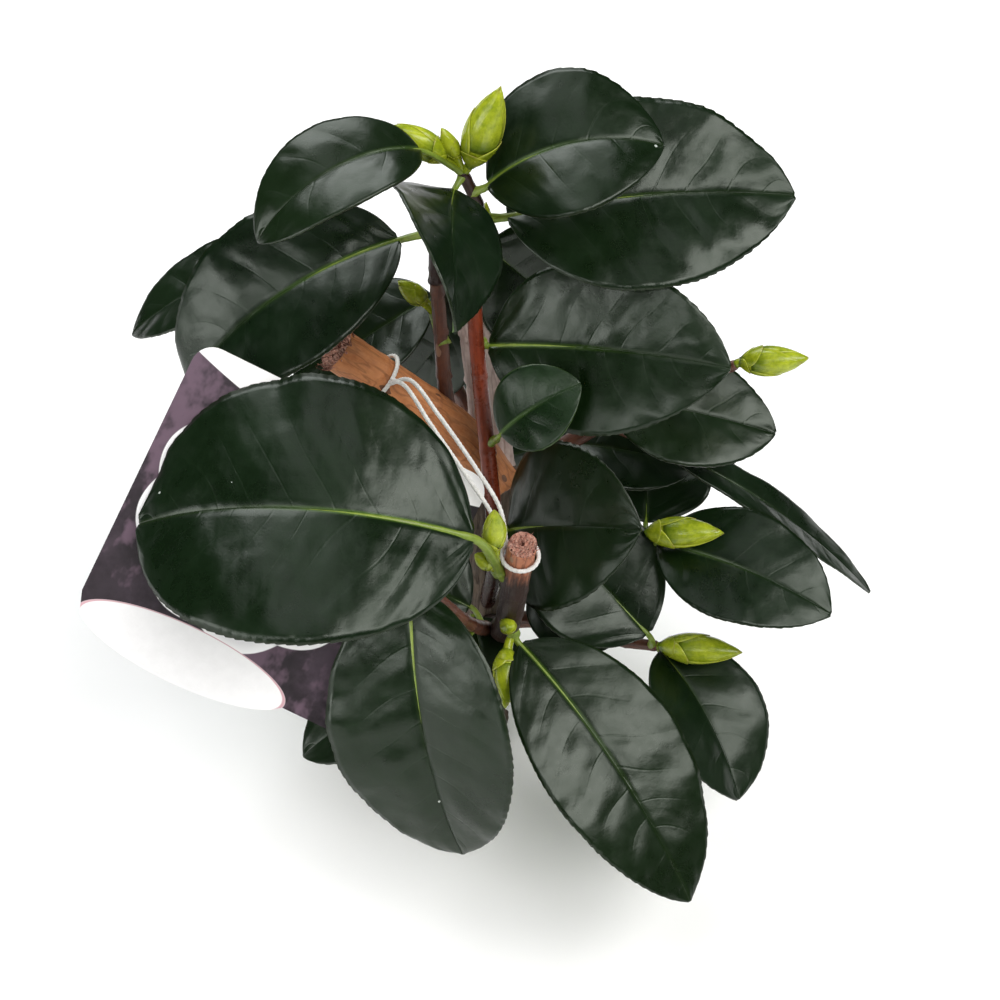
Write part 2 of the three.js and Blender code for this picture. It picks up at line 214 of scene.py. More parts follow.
effects = { # what every use of an effect has in common
    "mottle": {"fineScale": 6.3, "broadShare": 0.68, "fineShare": 0.32},
    "net": {"driftScale": 0.6, "drift": (0.0009, 0.0009, 0.0009), "cell": 0.30},
    "dust": {"smallest": 0.35},
    "fibres": {"streaks": (0.32, 0.68), "crackScale": 0.45, "crackWide": 0.05},
}


def buildMottle():  # two tones that drift into each other, broad and fine together
    own = effects["mottle"]
    inputs = [("Vector", "Vector", None), ("Scale", "Float", 60.0), ("Contrast", "Float", 2.0),
              ("Dark", "Color", (0, 0, 0, 1)), ("Light", "Color", (1, 1, 1, 1))]
    group, given, result = newGroup("toneMottle", inputs, [("Colour", "Color"), ("Mask", "Float")])
    place, scale = given["Vector"], given["Scale"]
    broad = addNode(group, "TexNoise", Vector=place, Scale=scale, Detail=4.0, Roughness=0.6)
    fineScale = times(group, scale, own["fineScale"])
    fine = addNode(group, "TexNoise", Vector=place, Scale=fineScale, Detail=3.0, Roughness=0.6)
    both = plus(group, times(group, broad.outputs[0], own["broadShare"]),
                times(group, fine.outputs[0], own["fineShare"]))
    spread = maths(group, "MULTIPLY_ADD", less(group, both, 0.5), given["Contrast"], 0.5)
    mask = between(group, spread, 0.0, 1.0)
    fill(group, result["Colour"], mixColour(group, mask, given["Dark"], given["Light"]))
    fill(group, result["Mask"], mask)
    return group


def buildVeinNet():  # the fine mesh of veins between the large ones
    own = effects["net"]
    inputs = [("Vector", "Vector", None), ("Scale", "Float", 700.0), ("Width", "Float", 0.08)]
    group, given, result = newGroup("veinNet", inputs, [("Line", "Float"), ("Height", "Float")])
    driftScale = times(group, given["Scale"], own["driftScale"])
    drift = addNode(group, "TexNoise", Vector=given["Vector"], Scale=driftScale, Detail=1.0)
    bent = addNode(group, "VectorMath", {"operation": "MULTIPLY_ADD"})
    for socket, value in zip(bent.inputs, (drift.outputs["Color"], own["drift"], given["Vector"])):
        fill(group, socket, value)
    cells = addNode(group, "TexVoronoi", {"feature": "DISTANCE_TO_EDGE"},
                    Vector=bent.outputs[0], Scale=given["Scale"])
    edge = cells.outputs["Distance"]
    fill(group, result["Line"], between(group, edge, 0.0, given["Width"], 1.0, 0.0))
    fill(group, result["Height"], between(group, edge, 0.0, own["cell"]))
    return group


def buildDust():  # scattered specks, and the pores of bark
    inputs = [("Vector", "Vector", None), ("Scale", "Float", 90.0),
              ("Amount", "Float", 0.2), ("Size", "Float", 0.06)]
    group, given, result = newGroup("dustSpecks", inputs, [("Mask", "Float")])
    cells = addNode(group, "TexVoronoi", Vector=given["Vector"], Scale=given["Scale"])
    pick = split(group, cells.outputs["Color"])
    size = times(group, given["Size"], plus(group, pick[1], effects["dust"]["smallest"]))
    dot = maths(group, "LESS_THAN", cells.outputs["Distance"], size)
    chosen = maths(group, "LESS_THAN", pick[0], given["Amount"])
    fill(group, result["Mask"], times(group, dot, chosen))
    return group


def buildFibres():  # streaks along a stem, read from its straightened coordinates
    own = effects["fibres"]
    inputs = [("Vector", "Vector", None), ("Scale", "Float", 900.0), ("Stretch", "Float", 0.12)]
    group, given, result = newGroup("lengthFibres", inputs, [("Mask", "Float"), ("Cracks", "Float")])
    stretch = addNode(group, "CombineXYZ", X=1.0, Y=1.0, Z=given["Stretch"]).outputs[0]
    along = stretched(group, given["Vector"], stretch)
    streak = addNode(group, "TexNoise", Vector=along, Scale=given["Scale"], Detail=5.0, Roughness=0.65)
    crackScale = times(group, given["Scale"], own["crackScale"])
    crack = addNode(group, "TexNoise", Vector=along, Scale=crackScale, Detail=2.0)
    line = maths(group, "ABSOLUTE", less(group, crack.outputs[0], 0.5))
    fill(group, result["Mask"], between(group, streak.outputs[0], *own["streaks"]))
    fill(group, result["Cracks"], between(group, line, 0.0, own["crackWide"], 1.0, 0.0))
    return group


toneMottle = buildMottle()
veinNet = buildVeinNet()
dustSpecks = buildDust()
lengthFibres = buildFibres()


def mottled(tree, place, scale, contrast, tones):
    dark, light = tones
    return useGroup(tree, toneMottle, Vector=place, Scale=scale, Contrast=contrast, Dark=dark, Light=light)


def newFinish(name, **sockets):
    material = bpy.data.materials.new(name)
    material.use_nodes = True
    tree = material.node_tree
    shader = tree.nodes["Principled BSDF"]
    for key, value in sockets.items():
        shader.inputs[key.replace("_", " ")].default_value = value
    return material, tree, shader


def roughFrom(tree, shader, mask, rough):  # roughness that drifts between two values
    fill(tree, shader.inputs["Roughness"], between(tree, mask, 0.0, 1.0, *rough))


def bumpFrom(tree, shader, height, strength, distance):
    bump = addNode(tree, "Bump", Height=height, Strength=strength, Distance=distance)
    fill(tree, shader.inputs["Normal"], bump.outputs[0])


leafShared = { # what the leaves' three finishes have in common
    "ior": 1.47,
    "shineTint": (0.93, 1.0, 0.91, 1),
    "contrast": 2.4,
    "veinHalf": 0.05, # as a share of the gap between two side veins
    "veinFade": (0.15, 0.85), # across the blade, from where they start to fade to where they end
    "veinLeft": 0.1,
    "veinSunk": 0.35,
    "veinRough": 0.12,
    "netWidth": 0.10,
    "ribCore": 0.0002, # metres on each side of the midrib
    "ribFade": (0.0, 0.7), # how far along the blade its flush fades
    "ribLeft": 0.06,
    "rimFrom": 0.972,
    "dustScale": 140.0,
    "dustSize": 0.055,
    "dustTone": (0.42, 0.46, 0.42, 1),
    "dentScale": 130.0,
    "drawn": (2.0, 0.0, 1.7), # dents drawn out along the side veins, across and along the blade
    "drawnSpread": 40.0,
    "grainScale": 2600.0,
    "reliefHigh": 0.00012,
}


def leafFinish(name, look):
    # "blade" holds how far across, how far along and the vein count; "flat" the place on the opened leaf
    # "mood" holds the leaf's own lean of tone, its dust, and how bright its midrib is
    own = leafShared
    material, tree, shader = newFinish(
        name, Specular_IOR_Level=look["gloss"], IOR=own["ior"], Specular_Tint=own["shineTint"])
    blade = split(tree, read(tree, "blade"))
    flat = read(tree, "flat")
    mood = split(tree, read(tree, "mood"))
    outward = maths(tree, "ABSOLUTE", blade[0])
    offRib = maths(tree, "ABSOLUTE", split(tree, flat)[0])
    base = mottled(tree, flat, look["mottle"], own["contrast"], (look["dark"], look["light"]))
    # each leaf leans a little to yellow
    toned = mixColour(tree, times(tree, mood[0], look["toneSpread"]), base["Colour"], look["warm"])
    # the large side veins, palest where they leave the midrib
    part = maths(tree, "FRACT", plus(tree, blade[2], 0.5))
    offVein = maths(tree, "ABSOLUTE", less(tree, part, 0.5))
    fade = between(tree, outward, *own["veinFade"], 1.0, own["veinLeft"])
    sideVein = times(tree, between(tree, offVein, 0.0, own["veinHalf"], 1.0, 0.0), fade)
    net = useGroup(tree, veinNet, Vector=flat, Scale=look["net"], Width=own["netWidth"])
    sideLines = times(tree, sideVein, look["sideVein"])
    netLines = times(tree, net["Line"], look["netLine"])
    lines = maths(tree, "MAXIMUM", sideLines, netLines)
    veined = mixColour(tree, lines, toned, look["vein"])
    # the flush of paler green beside the midrib
    beside = between(tree, offRib, own["ribCore"], look["ribGlow"], 1.0, 0.0)
    fading = between(tree, blade[1], *own["ribFade"], 1.0, own["ribLeft"])
    flush = times(tree, times(tree, beside, fading), mood[2])
    ribbed = mixColour(tree, flush, veined, look["rib"])
    rim = between(tree, outward, own["rimFrom"], 1.0, 0.0, look["rimShare"])
    rimmed = mixColour(tree, rim, ribbed, look["rim"])
    specks = useGroup(tree, dustSpecks, Vector=flat, Scale=own["dustScale"], Size=own["dustSize"],
                      Amount=times(tree, mood[1], look["dust"]))
    fill(tree, shader.inputs["Base Color"], mixColour(tree, specks["Mask"], rimmed, own["dustTone"]))
    rough = between(tree, base["Mask"], 0.0, 1.0, *look["rough"])
    fill(tree, shader.inputs["Roughness"], plus(tree, rough, times(tree, lines, own["veinRough"])))
    # shallow dents, some round and some drawn out along the side veins
    dents = addNode(tree, "TexNoise", Vector=flat, Scale=own["dentScale"], Detail=1.0, Roughness=0.4)
    along = stretched(tree, read(tree, "blade"), own["drawn"])
    drawn = addNode(tree, "TexNoise", {"noise_dimensions": "4D"}, Vector=along, Scale=1.0, Detail=0.6,
                    W=times(tree, mood[0], own["drawnSpread"]))
    dented = times(tree, plus(tree, dents.outputs[0], drawn.outputs[0]), look["uneven"])
    grain = addNode(tree, "TexNoise", Vector=flat, Scale=own["grainScale"], Detail=2.0)
    sunk = times(tree, sideVein, -own["veinSunk"])
    relief = plus(tree, times(tree, net["Height"], look["netHigh"]), sunk)
    relief = plus(tree, relief, dented)
    relief = plus(tree, relief, times(tree, grain.outputs[0], look["grain"]))
    bumpFrom(tree, shader, relief, look["bump"], own["reliefHigh"])
    return material


leafTop = leafFinish("leafTop", {
    "dark": (0.0011, 0.0054, 0.0011, 1), "light": (0.0022, 0.0108, 0.0020, 1),
    "warm": (0.0062, 0.0150, 0.0014, 1), "vein": (0.0120, 0.0280, 0.0090, 1),
    "rib": (0.0950, 0.1850, 0.0240, 1), "rim": (0.0200, 0.0260, 0.0090, 1),
    "gloss": 0.4, "rough": (0.26, 0.36), "mottle": 45.0, "toneSpread": 0.3, "dust": 0.16, "bump": 0.8,
    "net": 620.0, "netLine": 0.06, "netHigh": 0.07, "sideVein": 0.12, "grain": 0.06, "uneven": 4.2,
    "ribGlow": 0.0011, "rimShare": 0.3,
})
leafUnder = leafFinish("leafUnder", {
    "dark": (0.060, 0.105, 0.036, 1), "light": (0.085, 0.140, 0.050, 1),
    "warm": (0.120, 0.150, 0.050, 1), "vein": (0.150, 0.200, 0.085, 1),
    "rib": (0.240, 0.300, 0.110, 1), "rim": (0.060, 0.090, 0.030, 1),
    "gloss": 0.3, "rough": (0.55, 0.68), "mottle": 60.0, "toneSpread": 0.3, "dust": 0.0, "bump": 0.8,
    "net": 620.0, "netLine": 0.45, "netHigh": 0.5, "sideVein": 0.6, "grain": 0.3, "uneven": 0.6,
    "ribGlow": 0.002, "rimShare": 0.6,
})
youngTop = leafFinish("youngTop", {
    "dark": (0.0018, 0.0088, 0.0018, 1), "light": (0.0050, 0.0195, 0.0038, 1),
    "warm": (0.0095, 0.0260, 0.0036, 1), "vein": (0.0200, 0.0480, 0.0160, 1),
    "rib": (0.1100, 0.2000, 0.0500, 1), "rim": (0.0500, 0.0900, 0.0200, 1),
    "gloss": 0.45, "rough": (0.26, 0.36), "mottle": 60.0, "toneSpread": 0.2, "dust": 0.0, "bump": 0.6,
    "net": 760.0, "netLine": 0.08, "netHigh": 0.14, "sideVein": 0.15, "grain": 0.1, "uneven": 2.0,
    "ribGlow": 0.0009, "rimShare": 0.6,
})


barkShared = { # what the stems' finishes have in common
    "contrast": 2.6,
    "poreStretch": (1, 1, 0.45),
    "poreSize": 0.42,
    "poreHigh": 0.4,
    "streakHigh": 0.6,
    "wane": 0.006, # metres by which the end of the painted shade wanders
    "dyingShare": 0.96,
    "reliefHigh": 0.0003,
}


def stemFinish(name, look):
    # "flat" is the straightened stem: across it in x and y, along it in z
    own = barkShared
    material, tree, shader = newFinish(name, Specular_IOR_Level=look["gloss"])
    flat = read(tree, "flat")
    base = mottled(tree, flat, look["mottle"], own["contrast"], (look["dark"], look["light"]))
    fibres = useGroup(tree, lengthFibres, Vector=flat, Scale=look["fibre"], Stretch=look["stretch"])
    streaks = times(tree, fibres["Mask"], look["streakShare"])
    cracks = times(tree, fibres["Cracks"], look["crackShare"])
    streaked = mixColour(tree, streaks, base["Colour"], look["streak"])
    cracked = mixColour(tree, cracks, streaked, look["crack"])
    # corky pores
    pores = useGroup(tree, dustSpecks, Vector=stretched(tree, flat, own["poreStretch"]),
                     Scale=look["poreScale"], Amount=look["pores"], Size=own["poreSize"])
    bark = mixColour(tree, pores["Mask"], cracked, look["pore"])
    if "dying" in look: # painted shade: the bark is painted near black from its foot up to where the shade ends
        wane = plus(tree, split(tree, flat)[2], times(tree, fibres["Mask"], own["wane"]))
        shadedFoot = between(tree, wane, *look["sound"], own["dyingShare"], 0.0)
        bark = mixColour(tree, shadedFoot, bark, look["dying"])
    fill(tree, shader.inputs["Base Color"], bark)
    roughFrom(tree, shader, base["Mask"], look["rough"])
    height = less(tree, times(tree, fibres["Mask"], own["streakHigh"]), cracks)
    height = plus(tree, height, times(tree, pores["Mask"], own["poreHigh"]))
    bumpFrom(tree, shader, height, look["bump"], own["reliefHigh"])
    return material


def plainWood(**changes):  # the usual values, with each finish's own changes
    look = {
        "crack": (0.03, 0.02, 0.015, 1), "gloss": 0.35, "rough": (0.6, 0.8), "mottle": 110.0,
        "fibre": 700.0, "stretch": 0.12, "streakShare": 0.5, "crackShare": 0.5,
        "poreScale": 420.0, "pores": 0.10, "bump": 0.6,
    }
    look.update(changes)
    return look


oldBark = stemFinish("oldBark", plainWood(
    dark=(0.040, 0.026, 0.018, 1), light=(0.110, 0.078, 0.056, 1), streak=(0.160, 0.125, 0.095, 1),
    pore=(0.170, 0.130, 0.095, 1), poreScale=620.0, bump=0.9))
paleBark = stemFinish("paleBark", plainWood(
    dark=(0.360, 0.240, 0.215, 1), light=(0.600, 0.470, 0.430, 1), streak=(0.680, 0.580, 0.540, 1),
    crack=(0.120, 0.070, 0.050, 1), pore=(0.220, 0.140, 0.100, 1), crackShare=0.35))
tanBark = stemFinish("tanBark", plainWood(
    dark=(0.290, 0.092, 0.028, 1), light=(0.500, 0.190, 0.066, 1), streak=(0.560, 0.250, 0.105, 1),
    crack=(0.110, 0.045, 0.020, 1), pore=(0.140, 0.060, 0.030, 1), rough=(0.45, 0.65),
    crackShare=0.4, stretch=0.2))
redShoot = stemFinish("redShoot", plainWood(
    dark=(0.070, 0.011, 0.005, 1), light=(0.205, 0.032, 0.011, 1), streak=(0.270, 0.056, 0.018, 1),
    crack=(0.020, 0.005, 0.003, 1), pore=(0.240, 0.110, 0.050, 1), gloss=0.28, rough=(0.24, 0.36),
    streakShare=0.35, crackShare=0.2, pores=0.04, bump=0.3,
    # painted shade: the lower part of the shoot, deep among the leaves, is painted near black
    dying=(0.014, 0.006, 0.004, 1), sound=(0.044, 0.062)))
brownShoot = stemFinish("brownShoot", plainWood(
    dark=(0.034, 0.010, 0.006, 1), light=(0.105, 0.032, 0.016, 1), streak=(0.160, 0.058, 0.030, 1),
    crack=(0.016, 0.006, 0.004, 1), pore=(0.220, 0.120, 0.075, 1), gloss=0.45, rough=(0.34, 0.52),
    streakShare=0.45, crackShare=0.4, pores=0.08, bump=0.5))
snagBark = stemFinish("snagBark", plainWood(
    dark=(0.220, 0.060, 0.028, 1), light=(0.470, 0.165, 0.080, 1), streak=(0.560, 0.240, 0.130, 1),
    crack=(0.060, 0.020, 0.012, 1), pore=(0.330, 0.190, 0.120, 1), gloss=0.4, rough=(0.45, 0.62),
    streakShare=0.5, crackShare=0.5, pores=0.08, bump=0.7,
    # painted shade: the snag is painted near black from its foot to just below its cut end
    dying=(0.010, 0.004, 0.003, 1), sound=(0.087, 0.098)))
stalkGreen = stemFinish("stalkGreen", plainWood(
    dark=(0.075, 0.130, 0.010, 1), light=(0.190, 0.270, 0.024, 1), streak=(0.300, 0.360, 0.050, 1),
    crack=(0.100, 0.080, 0.020, 1), pore=(0.190, 0.120, 0.040, 1), gloss=0.5, rough=(0.34, 0.48),
    mottle=160.0, streakShare=0.35, crackShare=0.2, pores=0.03, bump=0.3))
cutWood = stemFinish("cutWood", plainWood(
    dark=(0.190, 0.048, 0.034, 1), light=(0.560, 0.240, 0.165, 1), streak=(0.720, 0.480, 0.390, 1),
    crack=(0.045, 0.018, 0.014, 1), pore=(0.080, 0.030, 0.020, 1), gloss=0.2, rough=(0.75, 0.92),
    mottle=420.0, fibre=1500.0, stretch=0.5, streakShare=0.6, crackShare=0.6, bump=1.0,
    pores=0.3, poreScale=900.0))


budTones = {
    "base": ((0.125, 0.185, 0.004, 1), (0.425, 0.485, 0.020, 1)),
    "mottle": 150.0, "contrast": 2.2,
    "line": (0.460, 0.500, 0.036, 1), "lineShare": 0.14,
    "edge": (0.480, 0.500, 0.060, 1), "edgeFrom": 0.88, "edgeShare": 0.6,
    # painted shade: the bud is painted darker green towards its foot
    "foot": (0.040, 0.095, 0.008, 1), "footShadeTo": 0.40, "footShadeShare": 0.75,
    "tip": (0.270, 0.200, 0.060, 1), "tipFrom": 0.88, "tipShare": 0.55,
    "fibre": 900.0, "stretch": 0.10,
    "rough": (0.17, 0.28),
    "bump": 0.4, "reliefHigh": 0.0001,
}


def budFinish():
    own = budTones
    material, tree, shader = newFinish("budScale", Specular_IOR_Level=0.5, IOR=1.45)
    blade = split(tree, read(tree, "blade"))
    flat = read(tree, "flat")
    base = mottled(tree, flat, own["mottle"], own["contrast"], own["base"])
    fibres = useGroup(tree, lengthFibres, Vector=flat, Scale=own["fibre"], Stretch=own["stretch"])
    lined = mixColour(tree, times(tree, fibres["Mask"], own["lineShare"]), base["Colour"], own["line"])
    outward = maths(tree, "ABSOLUTE", blade[0])
    edge = between(tree, outward, own["edgeFrom"], 1.0, 0.0, own["edgeShare"])
    # painted shade: darker green towards the bud's foot
    foot = between(tree, blade[1], 0.0, own["footShadeTo"], own["footShadeShare"], 0.0)
    tip = between(tree, blade[1], own["tipFrom"], 1.0, 0.0, own["tipShare"])
    painted = mixColour(tree, edge, lined, own["edge"])
    painted = mixColour(tree, foot, painted, own["foot"])
    painted = mixColour(tree, tip, painted, own["tip"])
    fill(tree, shader.inputs["Base Color"], painted)
    roughFrom(tree, shader, base["Mask"], own["rough"])
    bumpFrom(tree, shader, fibres["Mask"], own["bump"], own["reliefHigh"])
    return material


budScale = budFinish()
print("leaf, bark and bud finishes made")

# piece building: parts, with the attributes that the finishes read, are joined into one piece


def startPart():
    bm = bmesh.new()
    layers = {name: bm.verts.layers.float_vector.new(name) for name in ("blade", "flat", "mood")}
    return bm, layers


def keepPart(parts, bm):
    mesh = bpy.data.meshes.new("part")
    bm.to_mesh(mesh)
    bm.free()
    parts.append(mesh)


def joinParts(parts, name, finishes, node, slot):
    whole = bmesh.new()
    for mesh in parts:
        whole.from_mesh(mesh)
        bpy.data.meshes.remove(mesh)
    for face in whole.faces:
        face.smooth = True
    mesh = bpy.data.meshes.new(name)
    whole.to_mesh(mesh)
    whole.free()
    for finish in finishes:
        mesh.materials.append(finish)
    piece = bpy.data.objects.new(name, mesh)
    scene.collection.objects.link(piece)
    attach(piece, "root")
    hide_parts(node)
    return piece


curveSteps = 40 # between two points of a path


def knots(points):
    # a smooth curve through the points, the ends carried on straight
    spots = [Vector(p) for p in points]
    spots = [spots[0] * 2 - spots[1]] + spots + [spots[-1] * 2 - spots[-2]]
    line = []
    for i in range(1, len(spots) - 2):
        p0, p1, p2, p3 = spots[i - 1:i + 3]
        d0, d1, d2 = (math.sqrt((b - a).length) for a, b in ((p0, p1), (p1, p2), (p2, p3)))
        leave = ((p1 - p0) / d0 - (p2 - p0) / (d0 + d1) + (p2 - p1) / d1) * d1
        reach = ((p2 - p1) / d1 - (p3 - p1) / (d1 + d2) + (p3 - p2) / d2) * d1
        for step in range(curveSteps):
            t = step / curveSteps
            line.append(p1 * (2 * t ** 3 - 3 * t * t + 1) + leave * (t ** 3 - 2 * t * t + t)
                        + p2 * (3 * t * t - 2 * t ** 3) + reach * (t ** 3 - t * t))
    return line + [spots[-2]]


def pathFrames(points, steps):
    # evenly spaced points on the curve, each with two directions square to it, and the curve's length
    line = knots(points)
    reach = [0.0]
    for a, b in zip(line, line[1:]):
        reach.append(reach[-1] + (b - a).length)
    spots, at = [], 0
    for step in range(steps + 1):
        want = reach[-1] * step / steps
        while at < len(line) - 2 and reach[at + 1] < want:
            at += 1
        share = (want - reach[at]) / max(1e-9, reach[at + 1] - reach[at])
        spots.append(line[at].lerp(line[at + 1], share))
    frames = []
    across = None
    for i, spot in enumerate(spots):
        ahead = (spots[min(i + 1, steps)] - spots[max(i - 1, 0)]).normalized()
        if across is None:
            across = ahead.orthogonal().normalized()
        across = (across - ahead * across.dot(ahead)).normalized()
        frames.append((spot, across.copy(), ahead.cross(across), ahead))
    return frames, reach[-1]


def growTube(parts, path, sides, step, radiusAt, material=0, crown=0, crownShape=None,
             crownMaterial=0, ground=False):
    # a cylinder cut into rings and bent along the path
    # radiusAt takes the share, the turn and the length so far
    # crown adds rings that close over the far end, shaped by crownShape
    body = max(3, round(pathFrames(path, 4)[1] / step))
    frames, long = pathFrames(path, body)
    rings = body + crown
    bm, layers = startPart()
    made = bmesh.ops.create_cone(bm, cap_ends=True, segments=sides, radius1=1, radius2=1, depth=1)
    edges = {edge for vert in made["verts"] for edge in vert.link_edges}
    upright = [edge for edge in edges if abs(edge.verts[0].co.z - edge.verts[1].co.z) > 0.5]
    bmesh.ops.subdivide_edges(bm, edges=upright, cuts=rings - 1)
    bodyEnd = body / rings - 0.5 - 0.001
    for face in bm.faces:
        inCrown = min(vert.co.z for vert in face.verts) > bodyEnd
        face.material_index = crownMaterial if inCrown else material
    for vert in bm.verts:
        ring = round((vert.co.z + 0.5) * rings)
        turn = math.atan2(vert.co.y, vert.co.x)
        middle, across, other, ahead = frames[min(ring, body)]
        share = min(ring, body) / body
        radius, lift = radiusAt(share, turn, share * long), 0.0
        if ring > body:
            radius, lift = crownShape(radius, (ring - body) / (crown + 0.15), turn)
        x, y = math.cos(turn) * radius, math.sin(turn) * radius
        vert[layers["flat"]] = (x * mm, y * mm, (share * long + lift) * mm)
        vert[layers["blade"]] = (0, share, 0)
        vert.co = (middle + across * x + other * y + ahead * lift) * mm
    if ground: # everything under the ground is cut away, and the flat cut closed
        whole = bm.verts[:] + bm.edges[:] + bm.faces[:]
        cut = bmesh.ops.bisect_plane(
            bm, geom=whole, plane_co=(0, 0, 0), plane_no=(0, 0, -1), clear_outer=True)
        rim = [part for part in cut["geom_cut"] if isinstance(part, bmesh.types.BMEdge)]
        bmesh.ops.contextual_create(bm, geom=rim)
    bmesh.ops.recalc_face_normals(bm, faces=bm.faces[:])
    keepPart(parts, bm)


def roundEnd(radius, inward, turn):
    return radius * math.sqrt(max(0.0, 1 - inward ** 2)), radius * 0.55 * inward


# the limbs, with their bark


def limbOf(bark, radii, *path, **more):
    return {"bark": bark, "radii": radii, "path": path, **more}


limbs = {
    "main_stem": limbOf("old", (8.8, 7.6), (0, 0, -6), (0, 0, 8), (4, 3, 50), (8, 8, 102), flare=4.5),
    "leader": limbOf("pale", (6.6, 4.6), (8, 9, 100), (6, 15, 125), (3, 20, 150), (2, 22, 166)),
    "cut_limb": limbOf("tan", (6.4, 6.2), (9, 6, 100), (0, 3, 118), (-17, 1, 136), (-36, 0, 153)),
    "cut_front_shoot": limbOf("snag", (3.6, 4.0), (6, 0, 46), (9, -18, 62), (12, -40, 84), (16, -54, 127)),
    "red_shoot_front": limbOf("red", (2.7, 2.0),
        (6, -2, 58), (9, -10, 84), (7, -12, 118), (3, 0, 166), (4, 5, 188)),
    "red_shoot_back": limbOf("brown", (2.3, 1.9), (-4, 4, 122), (-6, 7, 135), (-7, 10, 152), (-8, 9, 174)),
    "right_shoot": limbOf("brown", (3.0, 2.4), (6, 9, 88), (24, 12, 104), (45, 12, 121)),
    "low_right_shoot": limbOf("brown", (3.0, 2.2), (4, 2, 44), (20, -6, 54), (38, -16, 58)),
    "back_left_shoot": limbOf("brown", (2.8, 2.0), (4, 15, 112), (-10, 31, 128), (-26, 44, 136)),
    "back_right_shoot": limbOf("brown", (2.8, 2.0), (8, 14, 104), (18, 32, 120), (32, 44, 126)),
    "low_back_shoot": limbOf("brown", (2.8, 2.0), (2, 2, 42), (0, 22, 60), (-4, 36, 72)),
}

# each bark: its finish and slot, its sides and ring length, broad swells and fine ridges,
# and how far apart and how high the rings are where leaves once stood
barks = {
    "old": {
        "finish": oldBark, "slot": "bark", "sides": 64, "step": 0.7,
        "swell": 0.55, "ridge": 0.75, "scars": 17, "scarHigh": 0.5,
    },
    "pale": {
        "finish": paleBark, "slot": "pale_bark", "sides": 48, "step": 0.7,
        "swell": 0.35, "ridge": 0.28, "scars": 15, "scarHigh": 0.45,
    },
    "tan": {
        "finish": tanBark, "slot": "tan_bark", "sides": 48, "step": 0.6,
        "swell": 0.25, "ridge": 0.22, "scars": 19, "scarHigh": 0.5,
    },
    "brown": {
        "finish": brownShoot, "slot": "red_bark", "sides": 24, "step": 0.7,
        "swell": 0.15, "ridge": 0.14, "scars": 14, "scarHigh": 0.35,
    },
    "snag": {
        "finish": snagBark, "slot": "red_bark", "sides": 32, "step": 0.7,
        "swell": 0.35, "ridge": 0.22, "scars": 14, "scarHigh": 0.35,
    },
    "red": {
        "finish": redShoot, "slot": "red_bark", "sides": 24, "step": 0.7,
        "swell": 0.10, "ridge": 0.05, "scars": 24, "scarHigh": 0.30,
    },
}

rootFlare = {"fall": 9, "folds": 5, "foldHigh": 1.1, "foldFall": 14}

barkRelief = { # how fine the relief is, round a limb and along it
    "swellFine": (0.9, 0.045),
    "ridgeFine": (0.65, 0.16), # round it for each millimetre of its first radius
    "ridgeFractal": (0.9, 2.1, 4),
    "ridgeLow": 0.25,
    "scarWide": 0.9,
    "scarWander": 2.2,
    "groove": {"depth": 0.6, "behind": 1.4, "wide": 0.6}, # that follows each scar
    "lopsided": 0.25,
}

# the two cut ends: how rough the wood is, its hollow and lip, and the shreds left round it
sawnEnds = {
    "cut_limb": {
        "rough": 1.1, "hollow": 0.9, "lip": 0.8, "shreds": 46,
        "shredLong": (1.6, 4.6), "shredWide": 0.42,
    },
    "cut_front_shoot": {
        "rough": 0.9, "hollow": 1.4, "lip": 0.8, "shreds": 18,
        "shredLong": (0.9, 2.2), "shredWide": 0.3,
    },
}


def barkRadius(limb, bark, seed):
    own = barkRelief
    start, end = limb["radii"]
    flare = limb.get("flare", 0.0)
    low = limb["path"][0][2]
    swellRound, swellAlong = own["swellFine"]
    ridgeRound, ridgeAlong = own["ridgeFine"][0] * start, own["ridgeFine"][1]

    def radiusAt(share, turn, reach):
        above = max(0.0, reach + low)
        radius = mix(start, end, share) + flare * math.exp(-above / rootFlare["fall"])
        x, y = math.cos(turn), math.sin(turn)
        broad = Vector((x * swellRound + seed, y * swellRound, reach * swellAlong))
        swell = noise.noise(broad) * bark["swell"]
        if flare: # roots gather the foot into a few broad folds
            folds = rootFlare["foldHigh"] * math.cos(turn * rootFlare["folds"] + seed)
            swell += folds * math.exp(-above / rootFlare["foldFall"])
        fine = Vector((x * ridgeRound, y * ridgeRound + seed, reach * ridgeAlong))
        ridge = (0.5 - abs(noise.fractal(fine, *own["ridgeFractal"]))) * bark["ridge"]
        gap, groove = bark["scars"], own["groove"]
        wander = own["scarWander"] * noise.noise(Vector((x, y, seed)))
        nearest = (reach + wander + seed * 3) % gap - gap / 2
        dip = groove["depth"] * hump(nearest + groove["behind"], groove["wide"])
        scar = (hump(nearest, own["scarWide"]) - dip) * bark["scarHigh"]
        scar *= 1 - own["lopsided"] * (1 - math.cos(turn - seed))
        return radius - own["ridgeLow"] * bark["ridge"] + swell + ridge + scar

    return radiusAt


def sawnCrown(sawn, seed):
    # the cut face: a torn lip that leans over, then a rough hollow towards the pith
    def crownShape(radius, inward, turn):
        x, y = math.cos(turn) * (1 - inward), math.sin(turn) * (1 - inward)
        tear = noise.fractal(Vector((x * 3.4 + seed, y * 3.4, seed)), 0.8, 2.2, 4)
        lip = hump(inward - 0.12, 0.16) * sawn["lip"]
        dip = -sawn["hollow"] * smooth(0.25, 0.9, inward)
        return radius * (1 - inward), lip + dip + tear * sawn["rough"]

    return crownShape


